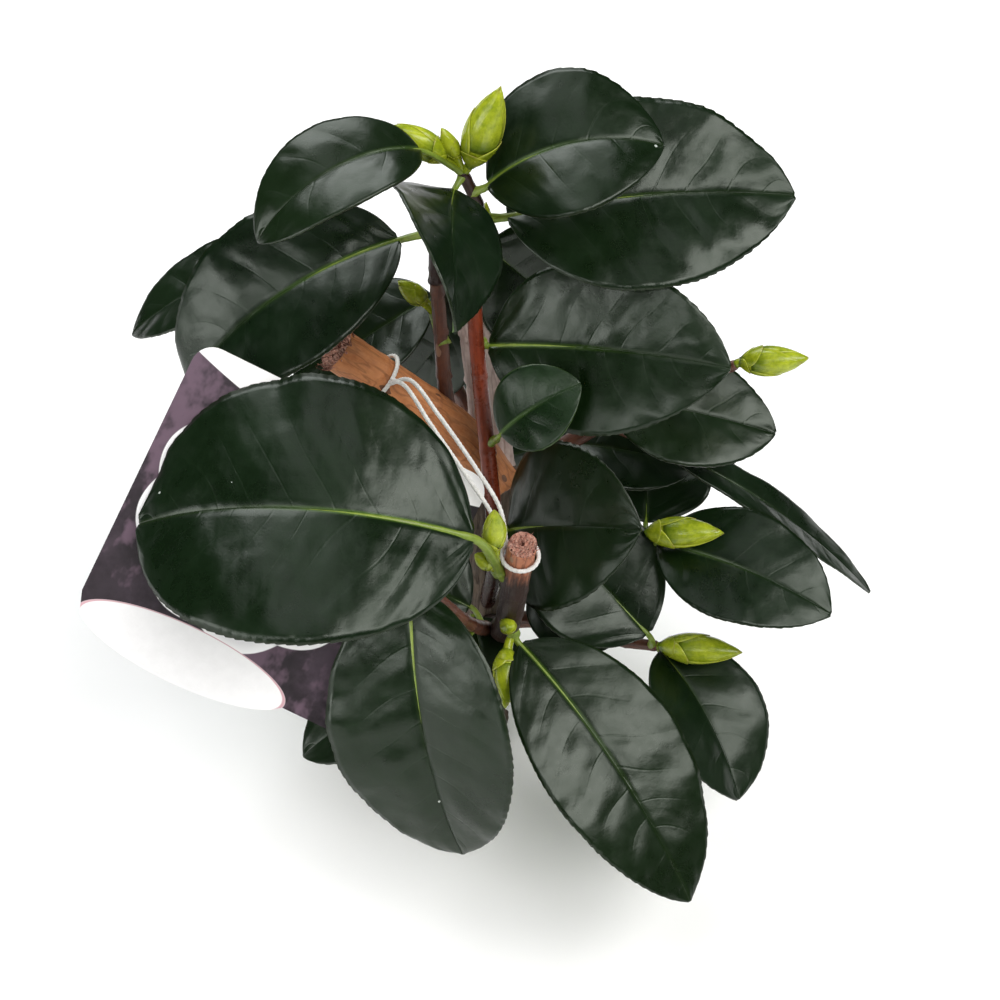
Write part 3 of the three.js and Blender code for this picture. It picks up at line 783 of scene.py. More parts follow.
def addShreds(parts, limb, sawn, rng):
    # splinters that stand round the cut
    frames, _ = pathFrames(limb["path"], 40)
    middle, across, other, ahead = frames[-1]
    rim = limb["radii"][1]
    for _ in range(sawn["shreds"]):
        turn = rng.uniform(0, math.tau)
        out = across * math.cos(turn) + other * math.sin(turn)
        # two in three stand on the rim, the others anywhere inside it
        far = rim * rng.choice([rng.uniform(*span) for span in ((0.86, 1.02), (0.86, 1.02), (0.15, 0.85))])
        root = middle + out * far - ahead * 1.0
        lean = ahead + out * rng.uniform(-0.2, 0.9) + ahead.cross(out) * rng.uniform(-0.5, 0.5)
        lean.normalize()
        long = rng.uniform(*sawn["shredLong"])
        bend = root + lean * long * 0.55 + out * rng.uniform(-0.1, 0.4)
        tip = root + lean * long + out * rng.uniform(0.0, 0.9) + ahead * rng.uniform(-0.6, 0.2)
        wide = sawn["shredWide"] * rng.uniform(0.5, 1.1)
        flatness = rng.uniform(0.4, 1.0)

        def splinter(share, angle, reach):
            return wide * (1 - 0.85 * share) * (1 - (1 - flatness) * math.sin(angle) ** 2)

        growTube(parts, [root, bend, tip], 6, long / 4, splinter, material=1)


def growLimb(name, limb, seed):
    bark = barks[limb["bark"]]
    sawn = sawnEnds.get(name)
    parts = []
    top = {"crown": 4, "crownShape": roundEnd}
    if sawn:
        top = {"crown": 9, "crownShape": sawnCrown(sawn, seed), "crownMaterial": 1}
    growTube(parts, limb["path"], bark["sides"], bark["step"], barkRadius(limb, bark, seed),
             ground="flare" in limb, **top)
    if sawn:
        addShreds(parts, limb, sawn, random.Random(seed * 7 + 1))
    joinParts(parts, name + "_bark", [bark["finish"], cutWood], name, bark["slot"])


for number, (name, limb) in enumerate(limbs.items()):
    growLimb(name, limb, number + 1)
print("limbs and bark made:", len(limbs))

# leaves: each blade bends along its midrib, folds up from it and curls down at the margins

leafLook = {
    "cells": 12, # on each side of the midrib
    "crowding": 0.45, # how much closer the cells are near the midrib and the margin
    "toothPitch": 2.7,
    "toothDepth": 0.22,
    "toothRamp": (0.0, 0.4, 0.8, 1.0), # each tooth rises towards the tip over these rows
    "toothLean": 0.8,
    "thickness": 0.62,
    "outline": (0.62, 0.74), # powers that round the base and point the tip
    "ribHalf": (0.55, 0.14), # at the base and at the tip
    "ribSteps": (0, 0.5, 1.15), # its middle, its side and its foot, as shares of that half
    "ribSunk": 0.34,
    "ribDepths": (1, 0.62, 0.12), # how much of that depth each of them has
    "ribShine": 0.12, # how pale the midrib is, unless the leaf has its own "rib"
    "veinGap": 10.5,
    "veinSlant": 0.28,
    "veinWander": 0.045,
    "pillow": 0.45, # swells between the side veins
    "pillowFlat": 2.4, # how flat their tops are
    "dimple": 0.50,
    "dimpleGap": 10.0,
    "waver": 1.5, # waves that grow towards the margin
    "fold": 12.0, # degrees that each half rises from the midrib
    "curl": 0.12,
    "coarse": 7, # steps of the plain blade that this one follows
    "stalkRadii": (1.45, 1.05, 0.28), # at the stem, at the blade and at the tip
    "stalkNeck": (1.5, 0.6), # how far behind and below the blade's foot the stalk joins it
    "stalkShares": (0.06, 0.14, 0.28, 0.45, 0.62), # where it touches the blade from below
    "stalkUnder": (0.95, 0.62), # how far under the blade it runs, at its foot and at its end
}


def startFrame(heading, rise, roll=0.0):
    h, r = math.radians(heading), math.radians(rise)
    along = Vector((math.cos(h) * math.cos(r), math.sin(h) * math.cos(r), math.sin(r)))
    side = Vector((math.sin(h), -math.cos(h), 0))
    side.rotate(Quaternion(along, math.radians(roll)))
    return along, side


def midrib(leaf, steps):
    # stations along the blade: each has its point and the ways along, across and up
    along, side = startFrame(leaf["heading"], leaf["rise"], leaf["roll"])
    arch, sway, twist = (math.radians(leaf.get(key, 0)) for key in ("arch", "sway", "twist"))
    lead = 0.5 / leafLook["coarse"] - 0.5 / steps

    def bend(share):
        up = side.cross(along)
        along.rotate(Quaternion(side, -arch * share))
        along.rotate(Quaternion(up, -sway * share))
        side.rotate(Quaternion(up, -sway * share))

    bend(lead)
    point = Vector(leaf["base"])
    stations = []
    for _ in range(steps + 1):
        stations.append((point.copy(), along.copy(), side.copy(), side.cross(along)))
        bend(1 / steps)
        side.rotate(Quaternion(along, twist / steps))
        point += along * leaf["long"] / steps
    return stations


def halfWidth(share, leaf):
    base, tip = leaf.get("outline", leafLook["outline"])
    widest = base / (base + tip)
    share = clamp(share, 0.004, 0.997)
    most = widest ** base * (1 - widest) ** tip
    return 0.5 * leaf["wide"] * (share ** base * (1 - share) ** tip) / most


def growBlade(parts, leaf, rng):
    look = leafLook
    bm, layers = startPart()
    cells = look["cells"]
    teeth = max(9, round(leaf["long"] / look["toothPitch"]))
    rows = teeth * len(look["toothRamp"])
    stations = midrib(leaf, rows)
    bmesh.ops.create_grid(bm, x_segments=cells * 2, y_segments=rows, size=1)
    pairs = max(4, round(leaf["long"] / look["veinGap"]))
    fold = math.radians(leaf.get("fold", look["fold"]))
    seed = rng.uniform(0, 90)
    mood = (rng.random(), leaf.get("dust", rng.random() * 0.5), leaf.get("rib", look["ribShine"]))
    size = clamp(leaf["wide"] / 50, 0.45, 1.2)
    ragged = [rng.uniform(0.5, 1.25) for _ in range(teeth * 2 + 2)]
    for vert in bm.verts:
        column = round(vert.co.x * cells)
        row = round((vert.co.y + 1) / 2 * rows)
        share = row / rows
        point, along, side, up = stations[row]
        half = halfWidth(share, leaf)
        rib = min(mix(look["ribHalf"][0], look["ribHalf"][1], share) * size ** 0.5, half * 0.4)
        steps = abs(column)
        if steps < 3:
            off = rib * look["ribSteps"][steps]
        else:
            t = (steps - 2) / (cells - 2)
            off = mix(rib * look["ribSteps"][2], half, mix(t, smooth(0, 1, t), look["crowding"]))
        out = clamp(off / half)
        sign = (column > 0) - (column < 0)
        ahead = 0.0
        if steps == cells: # forward-leaning teeth along the margin
            number, part = divmod(row, len(look["toothRamp"]))
            fade = smooth(0.08, 0.25, share) * (1 - 0.6 * smooth(0.8, 1.0, share))
            deep = look["toothDepth"] * size * look["toothRamp"][part]
            tooth = deep * fade * ragged[number * 2 + (sign > 0)]
            off += tooth
            ahead = tooth * look["toothLean"]
        wander = look["veinWander"] * noise.noise(Vector((share * 6, sign * 3 + out, seed)))
        slant = look["veinSlant"] * out ** 1.2 * leaf["wide"] / leaf["long"]
        veins = pairs * (share - slant + wander) + (0.5 if sign > 0 else 0.0)
        swell = 1 - abs(2 * (veins % 1) - 1) ** look["pillowFlat"]
        reach = share * leaf["long"]
        height = half * (out * math.sin(fold) - look["curl"] * out * out)
        plump = smooth(0.03, 0.3, out) * (1 - out ** 3) * min(1, half / 14)
        height += look["pillow"] * size * (swell - 0.5) * plump
        if steps < 3:
            height -= look["ribSunk"] * size * (1 - 0.55 * share) * look["ribDepths"][steps]
        waves = noise.noise(Vector((off * 0.05 * (sign or 1) + seed, reach * 0.055, seed)))
        ripple = noise.noise(Vector((sign * 5 + seed, reach * 0.13, 3.0)))
        gap = look["dimpleGap"]
        dent = noise.noise(Vector((sign * 9 + off / gap, reach / gap + seed, 7.0)))
        height += look["dimple"] * size * dent * smooth(0.0, 0.25, out)
        height += size * look["waver"] * (waves * out ** 1.3 + 0.55 * ripple * out ** 4)
        place = point + side * (sign * off * math.cos(fold)) + up * height + along * ahead
        vert[layers["blade"]] = (sign * out, share, veins)
        vert[layers["flat"]] = (sign * off * mm, (reach + ahead) * mm, seed * 0.01)
        vert[layers["mood"]] = mood
        vert.co = place * mm
    # the shell behind is the pale underside, while the thin edge has the colour of the top
    top = bm.faces[:]
    for face in top:
        face.normal_update()
    if sum(face.normal.dot(stations[rows // 2][3]) for face in top) < 0:
        bmesh.ops.reverse_faces(bm, faces=top)
    bmesh.ops.solidify(bm, geom=top, thickness=look["thickness"] * mm)
    upper = {vert for face in top for vert in face.verts}
    for face in bm.faces:
        face.material_index = 0 if upper.intersection(face.verts) else 1
    keepPart(parts, bm)
    return stations


def growStalk(parts, root, leaf, stations):
    # the stalk reaches the blade, then thins away under it as the raised midrib
    rows = len(stations) - 1
    point, along, _, up = stations[0]
    first, middle, end = leafLook["stalkRadii"]
    behind, below = leafLook["stalkNeck"]
    neck = point - along * behind - up * below
    path = [root, neck]
    for share in leafLook["stalkShares"]:
        spot, _, _, lift = stations[round(share * rows)]
        path.append(spot - lift * mix(*leafLook["stalkUnder"], share / leafLook["stalkShares"][-1]))
    size = clamp(leaf["wide"] / 50, 0.6, 1.15)
    lead = (neck - Vector(root)).length
    whole = pathFrames(path, 20)[1]

    def radiusAt(share, turn, reach):
        if reach < lead:
            radius = mix(first, middle, reach / lead) * (1 + 0.3 * hump(reach, 1.6))
        else:
            radius = mix(middle, end, smooth(0.0, 1.0, (reach - lead) / (whole - lead)))
        return radius * size * (1 + 0.03 * math.sin(reach * 1.7))

    growTube(parts, path, 12, 1.1, radiusAt)


# buds: a pointed egg of overlapping scales

budLook = {
    "scales": [ # foot and tip up the bud, turn and half-angle in degrees, and how far it stands off
        (0.28, 0.995, 40, 100, 0.00), (0.20, 0.97, 225, 96, 0.12), (0.08, 0.62, 130, 84, 0.26),
        (0.03, 0.40, 315, 86, 0.38), (0.00, 0.25, 30, 88, 0.50), (0.00, 0.17, 200, 88, 0.60),
    ],
    "grid": (8, 12),
    "point": (2.6, 0.75), # powers that draw a scale to its tip
    "thickness": 0.16,
    "standOff": 0.060, # this and the next two as shares of the bud's width
    "keel": 0.015,
    "tipStand": 0.014,
    "edgeStand": 0.05,
    "core": 0.95,
    "smallBelow": 9, # a bud no longer than this has only the four lowest scales
    "loose": 14, # degrees that a scale may turn from its place
}


def budProfile(share):
    return math.sin(math.pi * clamp(share, 0.0, 1.0) ** 0.8) ** 0.8 * 0.5 if 0 < share < 1 else 0.0


def growBud(parts, root, bud, rng):
    look = budLook
    along, side = startFrame(bud["heading"], bud["rise"])
    up = side.cross(along)
    long, wide = bud["long"], bud["wide"]
    base = Vector(bud["base"])
    spin = rng.uniform(0, math.tau)
    seed = rng.uniform(0, 90)

    def place(vert, layers, radius, turn, high, blade):
        vert[layers["blade"]] = blade
        x, y = math.cos(turn) * radius, math.sin(turn) * radius
        vert[layers["flat"]] = (x * mm + seed * 0.01, y * mm, high * mm)
        vert.co = (base + side * x + up * y + along * high) * mm

    # the core, spun from its outline
    bm, layers = startPart()
    outline = [bm.verts.new((budProfile(step / 16), 0, step / 16)) for step in range(17)]
    edges = [bm.edges.new(pair) for pair in zip(outline, outline[1:])]
    bmesh.ops.spin(bm, geom=outline + edges, cent=(0, 0, 0), axis=(0, 0, 1),
                   angle=math.tau, steps=18, use_merge=True)
    bmesh.ops.remove_doubles(bm, verts=bm.verts[:], dist=1e-5)
    for vert in bm.verts:
        radius = math.hypot(vert.co.x, vert.co.y) * wide * look["core"]
        place(vert, layers, radius, math.atan2(vert.co.y, vert.co.x), vert.co.z * long, (0.0, 0.5, 0))
    bmesh.ops.recalc_face_normals(bm, faces=bm.faces[:])
    keepPart(parts, bm)

    count = len(look["scales"]) if long > look["smallBelow"] else 4
    for number, (foot, tip, turn, spread, off) in enumerate(look["scales"][-count:]):
        bm, layers = startPart()
        columns, rows = look["grid"]
        bmesh.ops.create_grid(bm, x_segments=columns, y_segments=rows, size=1)
        middle = spin + math.radians(turn + rng.uniform(-look["loose"], look["loose"]))
        tip = min(1.0, tip * rng.uniform(0.94, 1.05))
        for vert in bm.verts:
            a, t = vert.co.x, (vert.co.y + 1) / 2
            narrow = max(0.02, (1 - t ** look["point"][0]) ** look["point"][1])
            angle = middle + a * math.radians(spread) * narrow
            share = mix(foot, tip, t) + 0.03 * abs(a) * (1 - t)
            keel = look["keel"] * hump(a, 0.25) * (1 - t)
            stand = wide * (look["standOff"] * off + keel + look["tipStand"] * t ** 3)
            stand += look["edgeStand"] * abs(a) ** 3
            radius = budProfile(clamp(share, 0.03, 0.985)) * wide * 0.97 + stand
            place(vert, layers, radius, angle, share * long, (a, t, number))
        probe = bm.faces[:][len(bm.faces) // 2]
        probe.normal_update()
        outward = probe.calc_center_median() / mm - base
        if probe.normal.dot(outward - along * outward.dot(along)) < 0:
            bmesh.ops.reverse_faces(bm, faces=bm.faces[:])
        thickness = look["thickness"] * mm * clamp(wide / 9, 0.6, 1.1)
        bmesh.ops.solidify(bm, geom=bm.faces[:], thickness=thickness)
        keepPart(parts, bm)
    neck = min(1.3, wide * 0.22)

    def neckRadius(share, turn, reach):
        return neck * (1 + 0.25 * hump(share - 1, 0.3))

    growTube(parts, [root, base.lerp(root, 0.4), base + along * long * 0.12], 12, 0.9, neckRadius)


# the masses: each a short stem of its own with its leaves and buds

# how far up the stem it leaves, where it starts, its heading, rise and roll in degrees, and its size
leafKeys = ("at", "base", "heading", "rise", "roll", "long", "wide")
budKeys = ("at", "base", "heading", "rise", "long", "wide")


def leafOf(*values, **more):
    return {**dict(zip(leafKeys, values)), **more}


def budOf(*values):
    return dict(zip(budKeys, values))


masses = {
    "foliage_top": {
        "stem": [(4, 5, 184), (4, 6, 196), (0, 4, 208)], "radii": (2.0, 1.6), "twig": "red",
        "leaves": [
            leafOf(0.35, (12, 8, 192), 2, 15, 38, 80, 57, arch=22, sway=10, rib=0.5),
            leafOf(0.7, (7, 2, 206), -12, 53, 34, 51, 46, arch=72, sway=16, rib=0.5, dust=1.4),
            leafOf(0.99, (-11, -4, 220), -142, 31, -14, 54, 31, arch=88, rib=0.2, dust=1.0),
            leafOf(0.97, (-2, -1, 206), -97, 14, -18, 57, 38,
                   arch=22, sway=-36, fold=4, twist=-66, rib=0.04),
        ],
        "buds": [budOf(1.0, (2, 4, 210), -13, 71, 26, 10.5), budOf(0.99, (-4, 4, 212), 188, 40, 18, 8),
                 budOf(1.0, (-1, 4, 212), 190, 66, 11, 4.5)],
    },
    "foliage_left": {
        "stem": [(-8, 9, 170), (-8, 8, 180), (-7, 8, 188)], "radii": (1.9, 1.6), "twig": "red",
        "leaves": [leafOf(0.95, (-18, 7, 185), -154, 2, -30, 80, 48, arch=68, sway=-12, fold=16, rib=0.6)],
        "buds": [budOf(0.9, (-9, 8, 188), 160, 70, 5, 3)],
    },
    "leaf_right_top": {
        "stem": [(3, 0, 156), (5, -1, 156)], "radii": (1.5, 1.4), "twig": "green",
        "leaves": [leafOf(0.9, (7, -1, 155), -27, 21, 56, 71, 49, arch=20, sway=12, rib=0.4)],
        "buds": [],
    },
    "leaf_young": {
        "stem": [(7, -11, 128), (9, -13, 131)], "radii": (1.3, 1.2), "twig": "green", "young": True,
        "leaves": [leafOf(0.9, (10, -26, 143), -18, 58, 58, 28, 24, arch=44, sway=12, rib=0.5)],
        "buds": [],
    },
    "leaf_right_middle": {
        "stem": [(8, -11, 96), (11, -11, 95)], "radii": (1.6, 1.5), "twig": "green",
        "leaves": [leafOf(0.9, (12, -10, 94), -62, 44, 70, 52, 50, arch=50, sway=8)],
        "buds": [],
    },
    "foliage_front_left": {
        "stem": [(13, -47, 108), (9, -52, 116)], "radii": (2.0, 1.8), "twig": "green",
        "leaves": [
            leafOf(0.8, (3, -64, 138), -163, 36, -35, 98, 76,
                   arch=78, fold=9, rib=0.9, outline=(0.56, 0.60)),
        ],
        "buds": [budOf(0.95, (8.5, -56, 127), -90, 82, 16, 6.6), budOf(0.5, (8, -54, 119), 200, 50, 8, 5)],
    },
    "foliage_front": {
        "stem": [(12, -38, 82), (14, -44, 84)], "radii": (2.2, 2.0), "twig": "green",
        "leaves": [leafOf(0.9, (16, -46, 82), -45, -18, 11, 89, 45, arch=33, sway=8, rib=0.45)],
        "buds": [budOf(0.9, (12, -46, 81), -92, -38, 18, 8), budOf(0.7, (12.5, -46.5, 90), -96, 40, 8, 5)],
    },
    "foliage_low_left": {
        "stem": [(8, -14, 58), (5, -33, 76), (0, -53, 98), (-8, -64, 118)],
        "radii": (2.4, 1.6), "twig": "brown",
        "leaves": [
            leafOf(0.98, (-14, -65, 121), -92, -40, 20, 85, 54, arch=55, fold=14),
            leafOf(0.5, (-7, -62, 88), -160, -14, -10, 47, 30, arch=28),
            leafOf(0.2, (2, -24, 72), -80, -4, 0, 34, 26, arch=24),
            leafOf(0.3, (1, -26, 78), 166, 24, -38, 40, 36, arch=20),
        ],
        "buds": [],
    },
    "foliage_right_upper": {
        "stem": [(45, 12, 121), (56, 10, 130), (68, 5, 139), (77, 2, 146)],
        "radii": (2.3, 1.5), "twig": "brown",
        "leaves": [leafOf(0.08, (42, 12, 127), -12, 1, 26, 51, 38, arch=23)],
        "buds": [budOf(1.0, (78, 2, 147), -12, 12, 20, 9)],
    },
    "foliage_right_low": {
        "stem": [(36, -15, 58), (48, -20, 58), (57, -24, 60)], "radii": (2.2, 1.6), "twig": "brown",
        "leaves": [
            leafOf(0.9, (59, -23, 57), -50, -12, -8, 51, 40, arch=36, sway=8, fold=18),
            leafOf(0.95, (54, -27, 68), 149, 38, -34, 51, 42, arch=0),
        ],
        "buds": [budOf(1.0, (58, -24, 60), -18, 11, 26, 9.5)],
    },
    "leaf_right_edge": {
        "stem": [(41, 11, 118), (49, 9, 115)], "radii": (1.5, 1.3), "twig": "brown",
        "leaves": [leafOf(0.9, (55, 8, 113), -5, -22, 2, 91, 17, arch=28)],
        "buds": [],
    },
    "foliage_right_front": {
        "stem": [(28, -9, 56), (52, 6, 64), (62, 2, 84)], "radii": (2.0, 1.6), "twig": "brown",
        "leaves": [
            leafOf(0.95, (57, -11, 90), -28, 12, 24, 56, 37, arch=36, sway=8, rib=0.3),
            leafOf(0.75, (55, 9, 81), 86, 26, 6, 30, 40, arch=20),
        ],
        "buds": [budOf(1.0, (53, -12, 95), -17, 14, 24, 9.5)],
    },
    "foliage_behind_fork": {
        "stem": [(-6, 9, 148), (-9, 15, 155)], "radii": (1.8, 1.6), "twig": "green",
        "leaves": [leafOf(0.8, (-10, 29, 151), -166, -24, -14, 52, 37, arch=18)],
        "buds": [budOf(1.0, (-11, 14, 159), 180, 44, 11, 6)],
    },
    "foliage_leader": {
        "stem": [(2, 22, 165), (3, 23, 171)], "radii": (2.6, 2.2), "twig": "brown",
        "leaves": [
            leafOf(0.8, (6, 24, 172), 8, -46, 60, 46, 40, arch=12),
            leafOf(0.2, (0, 26, 166), 180, -82, -80, 30, 13, arch=6),
            leafOf(0.0, (1, 27, 148), 180, -54, -58, 42, 28, arch=14),
        ],
        "buds": [budOf(1.0, (4, 24, 173), 60, 70, 12, 6)],
    },
    "leaf_under_right": {
        "stem": [(22, 12, 102), (26, 18, 103)], "radii": (1.8, 1.5), "twig": "green",
        "leaves": [leafOf(0.9, (29, 21, 103), -8, 2, 18, 42, 30, arch=22)],
        "buds": [],
    },
    "leaf_low_right": {
        "stem": [(9, -2, 66), (15, -8, 70)], "radii": (1.8, 1.5), "twig": "green",
        "leaves": [leafOf(0.9, (19, -11, 70), -26, 0, 10, 32, 32, arch=24)],
        "buds": [],
    },
    "foliage_back_left": {
        "stem": [(-24, 43, 134), (-34, 44, 146), (-40, 38, 159)], "radii": (2.0, 1.6), "twig": "brown",
        "leaves": [
            leafOf(0.98, (-47, 33, 163), 188, -2, -8, 60, 32, arch=42),
            leafOf(0.5, (-40, 51, 146), 158, 0, -8, 48, 34, arch=28),
            leafOf(0.3, (-33, 54, 141), 114, 8, 0, 48, 30, arch=30),
            leafOf(0.1, (-33, 46, 132), 186, -8, -8, 42, 30, arch=20),
        ],
        "buds": [budOf(1.0, (-41, 39, 161), 130, 50, 14, 7)],
    },
    "foliage_back_right": {
        "stem": [(30, 43, 125), (37, 48, 128)], "radii": (2.0, 1.7), "twig": "brown",
        "leaves": [
            leafOf(0.9, (43, 50, 127), 60, -2, 8, 46, 34, arch=30),
            leafOf(0.5, (26, 52, 128), 112, 8, 0, 48, 32, arch=34),
            leafOf(0.2, (42, 41, 123), -6, -8, 8, 40, 28, arch=20),
        ],
        "buds": [budOf(1.0, (38, 49, 130), 60, 62, 18, 8)],
    },
    "foliage_low_back": {
        "stem": [(-4, 34, 70), (-5, 42, 76)], "radii": (2.0, 1.7), "twig": "brown",
        "leaves": [
            leafOf(1.0, (-4, 49, 79), 92, 18, 0, 56, 34, arch=34),
            leafOf(0.7, (3, 44, 76), 22, 4, 6, 62, 38, arch=26),
            leafOf(0.7, (-13, 43, 77), 160, 4, -6, 58, 36, arch=26),
        ],
        "buds": [],
    },
    "leaf_low_back_left": {
        "stem": [(-1, 8, 52), (-7, 13, 57)], "radii": (2.0, 1.6), "twig": "green",
        "leaves": [leafOf(0.9, (-13, 14, 59), 192, 4, -10, 62, 36, arch=28)],
        "buds": [],
    },
}

twigFinish = {"red": redShoot, "brown": brownShoot, "green": stalkGreen}


def pointOn(path, share):
    frames, _ = pathFrames(path, 200)
    return frames[round(share * 200)][0]


def growMass(name, mass, seed):
    rng = random.Random(seed)
    leaves, twigs, buds = [], [], []
    thick, thin = mass["radii"]

    def twigRadius(share, turn, reach):
        collar = 0.22 * hump(reach, 1.6) + 0.10 * hump((reach % 9) - 4.5, 0.8)
        return mix(thick, thin, share) * (1 + collar)

    growTube(twigs, mass["stem"], 16, 0.8, twigRadius, material=1,
             crown=3, crownShape=roundEnd, crownMaterial=1)
    for leaf in mass["leaves"]:
        stations = growBlade(leaves, leaf, rng)
        growStalk(twigs, pointOn(mass["stem"], leaf["at"]), leaf, stations)
    for bud in mass["buds"]:
        growBud(buds, pointOn(mass["stem"], bud["at"]), bud, rng)
    topFinish = youngTop if mass.get("young") else leafTop
    joinParts(leaves, name + "_leaves", [topFinish, leafUnder], name, "foliage")
    joinParts(twigs, name + "_twigs", [stalkGreen, twigFinish[mass["twig"]]], name, "foliage")
    if buds:
        joinParts(buds, name + "_buds", [budScale], name, "foliage")


for number, (name, mass) in enumerate(masses.items()):
    growMass(name, mass, 100 + number)
print("foliage made:", len(masses), "masses")


# the swing label: a printed card with a rounded name panel, left blank, and a punched hole

label = {
    "corner": (-70, -22, 172), # its top left corner
    "across": (77, -18, -34),
    "down": (-35, -39, -62),
    "wide": 87, "high": 82, "round": 6, "thick": 0.6,
    "panel": {"from": 2, "to": 63, "deep": 7.1},
    "hole": {"x": 62, "y": 8, "radius": 2.4},
    "strips": 10,
    "bow": 0.35,
}

cardPrint = { # places and sizes in millimetres, from the card's top left corner
    "plum": ((0.012, 0.006, 0.010, 1), (0.060, 0.040, 0.056, 1)),
    "petal": ((0.60, 0.59, 0.61, 1), (0.92, 0.91, 0.91, 1)),
    "paper": ((0.87, 0.86, 0.86, 1), (0.94, 0.93, 0.93, 1)),
    "line": (0.60, 0.36, 0.40, 1),
    "shade": {"scale": 55.0, "contrast": 3.4},
    "stalks": {
        "scale": 85.0, "smoothness": 0.9, "stretch": (1.0, 0.45, 1.0), "edge": (0.25, 0.75),
        "share": 0.65, "tone": (0.012, 0.009, 0.011, 1),
    },
    "haze": {
        "scale": 24.0, "contrast": 3.6, "stretch": (1.0, 0.7, 1.0), "edge": (0.62, 0.95),
        "share": 0.7, "tone": (0.160, 0.100, 0.140, 1),
    },
    "flower": {
        "middle": (38, 38.5), "radius": 36, "scallop": 3.2, "petals": 9,
        "rings": (1.0, 0.76, 0.53, 0.31), "shaded": 6.5,
        "cleft": (0.36, 0.35, 0.37, 1), "cleftEdge": (0.0, 0.22), "cleftShare": 0.45,
    },
    "blend": 0.35,
    "band": {"high": 3.0, "dip": 9.0, "middle": 52.0, "half": 52.0, "blend": 0.25},
    "name": {"middle": (32.0, 81.0), "half": (31.5, 9.0), "outline": (0.955, 0.972), "edge": (0.985, 1.0)},
    "paperScale": 300.0, "paperContrast": 1.6,
    "gloss": 0.35, "rough": (0.42, 0.54), "bump": 0.12, "reliefHigh": 0.00008,
}

cardBack = {
    "tones": ((0.66, 0.64, 0.60, 1), (0.74, 0.72, 0.68, 1)), "mottle": 220.0, "contrast": 1.8,
    "fibre": 1400.0, "stretch": 0.4, "gap": (0.50, 0.47, 0.42, 1), "gapShare": 0.12,
    "rough": (0.6, 0.75), "bump": 0.25, "reliefHigh": 0.00006,
}


def cardSpot(x, y):  # from the card's own x and y to the plant's space
    across = Vector(label["across"]).normalized()
    facing = across.cross(-Vector(label["down"])).normalized()
    up = facing.cross(across)
    bow = label["bow"] * math.sin(math.pi * clamp(x / label["wide"]))
    return Vector(label["corner"]) + across * x + up * y - facing * bow, facing


def offOval(tree, x, y, middle, half):  # how far a place is from an oval's middle, 1 on its edge
    dx = maths(tree, "DIVIDE", less(tree, x, float(middle[0])), float(half[0]))
    dy = maths(tree, "DIVIDE", less(tree, y, float(middle[1])), float(half[1]))
    return dx, dy, maths(tree, "SQRT", plus(tree, times(tree, dx, dx), times(tree, dy, dy)))


def printFinish():
    own = cardPrint
    material, tree, shader = newFinish("labelPrint", Specular_IOR_Level=own["gloss"])
    flat = read(tree, "flat")
    place = split(tree, stretched(tree, flat, (1000, -1000, 1000))) # millimetres from the top left corner
    x, y = place[0], place[1]
    # blurred stalks and leaves in the dark behind the flower
    shade = mottled(tree, flat, own["shade"]["scale"], own["shade"]["contrast"], own["plum"])
    stalks, haze = own["stalks"], own["haze"]
    blurred = addNode(tree, "TexVoronoi", {"feature": "SMOOTH_F1"}, Scale=stalks["scale"],
                      Smoothness=stalks["smoothness"], Vector=stretched(tree, flat, stalks["stretch"]))
    dim = between(tree, blurred.outputs["Distance"], *stalks["edge"], stalks["share"], 0.0)
    painted = mixColour(tree, dim, shade["Colour"], stalks["tone"])
    drifting = stretched(tree, flat, haze["stretch"])
    hazy = mottled(tree, drifting, haze["scale"], haze["contrast"], own["plum"])["Mask"]
    painted = mixColour(tree, between(tree, hazy, *haze["edge"], 0.0, haze["share"]), painted, haze["tone"])
    # the open flower: rings of petals with a shaded edge to each
    bloom = own["flower"]
    dx, dy, far = offOval(tree, x, y, bloom["middle"], (1, 1))
    turn = maths(tree, "ARCTAN2", dy, dx)
    for ring, share in enumerate(bloom["rings"]):
        turned = maths(tree, "MULTIPLY_ADD", turn, bloom["petals"] / 2 - ring * 0.5, ring * 1.9)
        wave = maths(tree, "ABSOLUTE", maths(tree, "COSINE", turned))
        scallop, reach = bloom["scallop"] * (1 - 0.15 * ring), bloom["radius"] * share - bloom["scallop"]
        inside = less(tree, maths(tree, "MULTIPLY_ADD", wave, scallop, reach), far)
        lit = mixColour(tree, between(tree, inside, 0.0, bloom["shaded"]), own["petal"][1], own["petal"][0])
        cleft = between(tree, wave, *bloom["cleftEdge"], bloom["cleftShare"], 0.0)
        petal = mixColour(tree, cleft, lit, bloom["cleft"])
        painted = mixColour(tree, between(tree, inside, 0.0, own["blend"]), painted, petal)
    # the white band along the top
    band = own["band"]
    away = maths(tree, "DIVIDE", less(tree, x, band["middle"]), band["half"])
    limit = maths(tree, "MULTIPLY_ADD", times(tree, away, away), -band["dip"], band["high"] + band["dip"])
    paper = mottled(tree, flat, own["paperScale"], own["paperContrast"], own["paper"])
    above = between(tree, less(tree, limit, y), 0.0, band["blend"])
    painted = mixColour(tree, above, painted, paper["Colour"])
    # the name panel, left blank inside its thin outline
    oval = own["name"]
    out = offOval(tree, x, y, oval["middle"], oval["half"])[2]
    panel = between(tree, out, *oval["edge"], 1.0, 0.0)
    painted = mixColour(tree, panel, painted, paper["Colour"])
    outline = times(tree, between(tree, out, *oval["outline"]), panel)
    fill(tree, shader.inputs["Base Color"], mixColour(tree, outline, painted, own["line"]))
    roughFrom(tree, shader, paper["Mask"], own["rough"])
    bumpFrom(tree, shader, paper["Mask"], own["bump"], own["reliefHigh"])
    return material


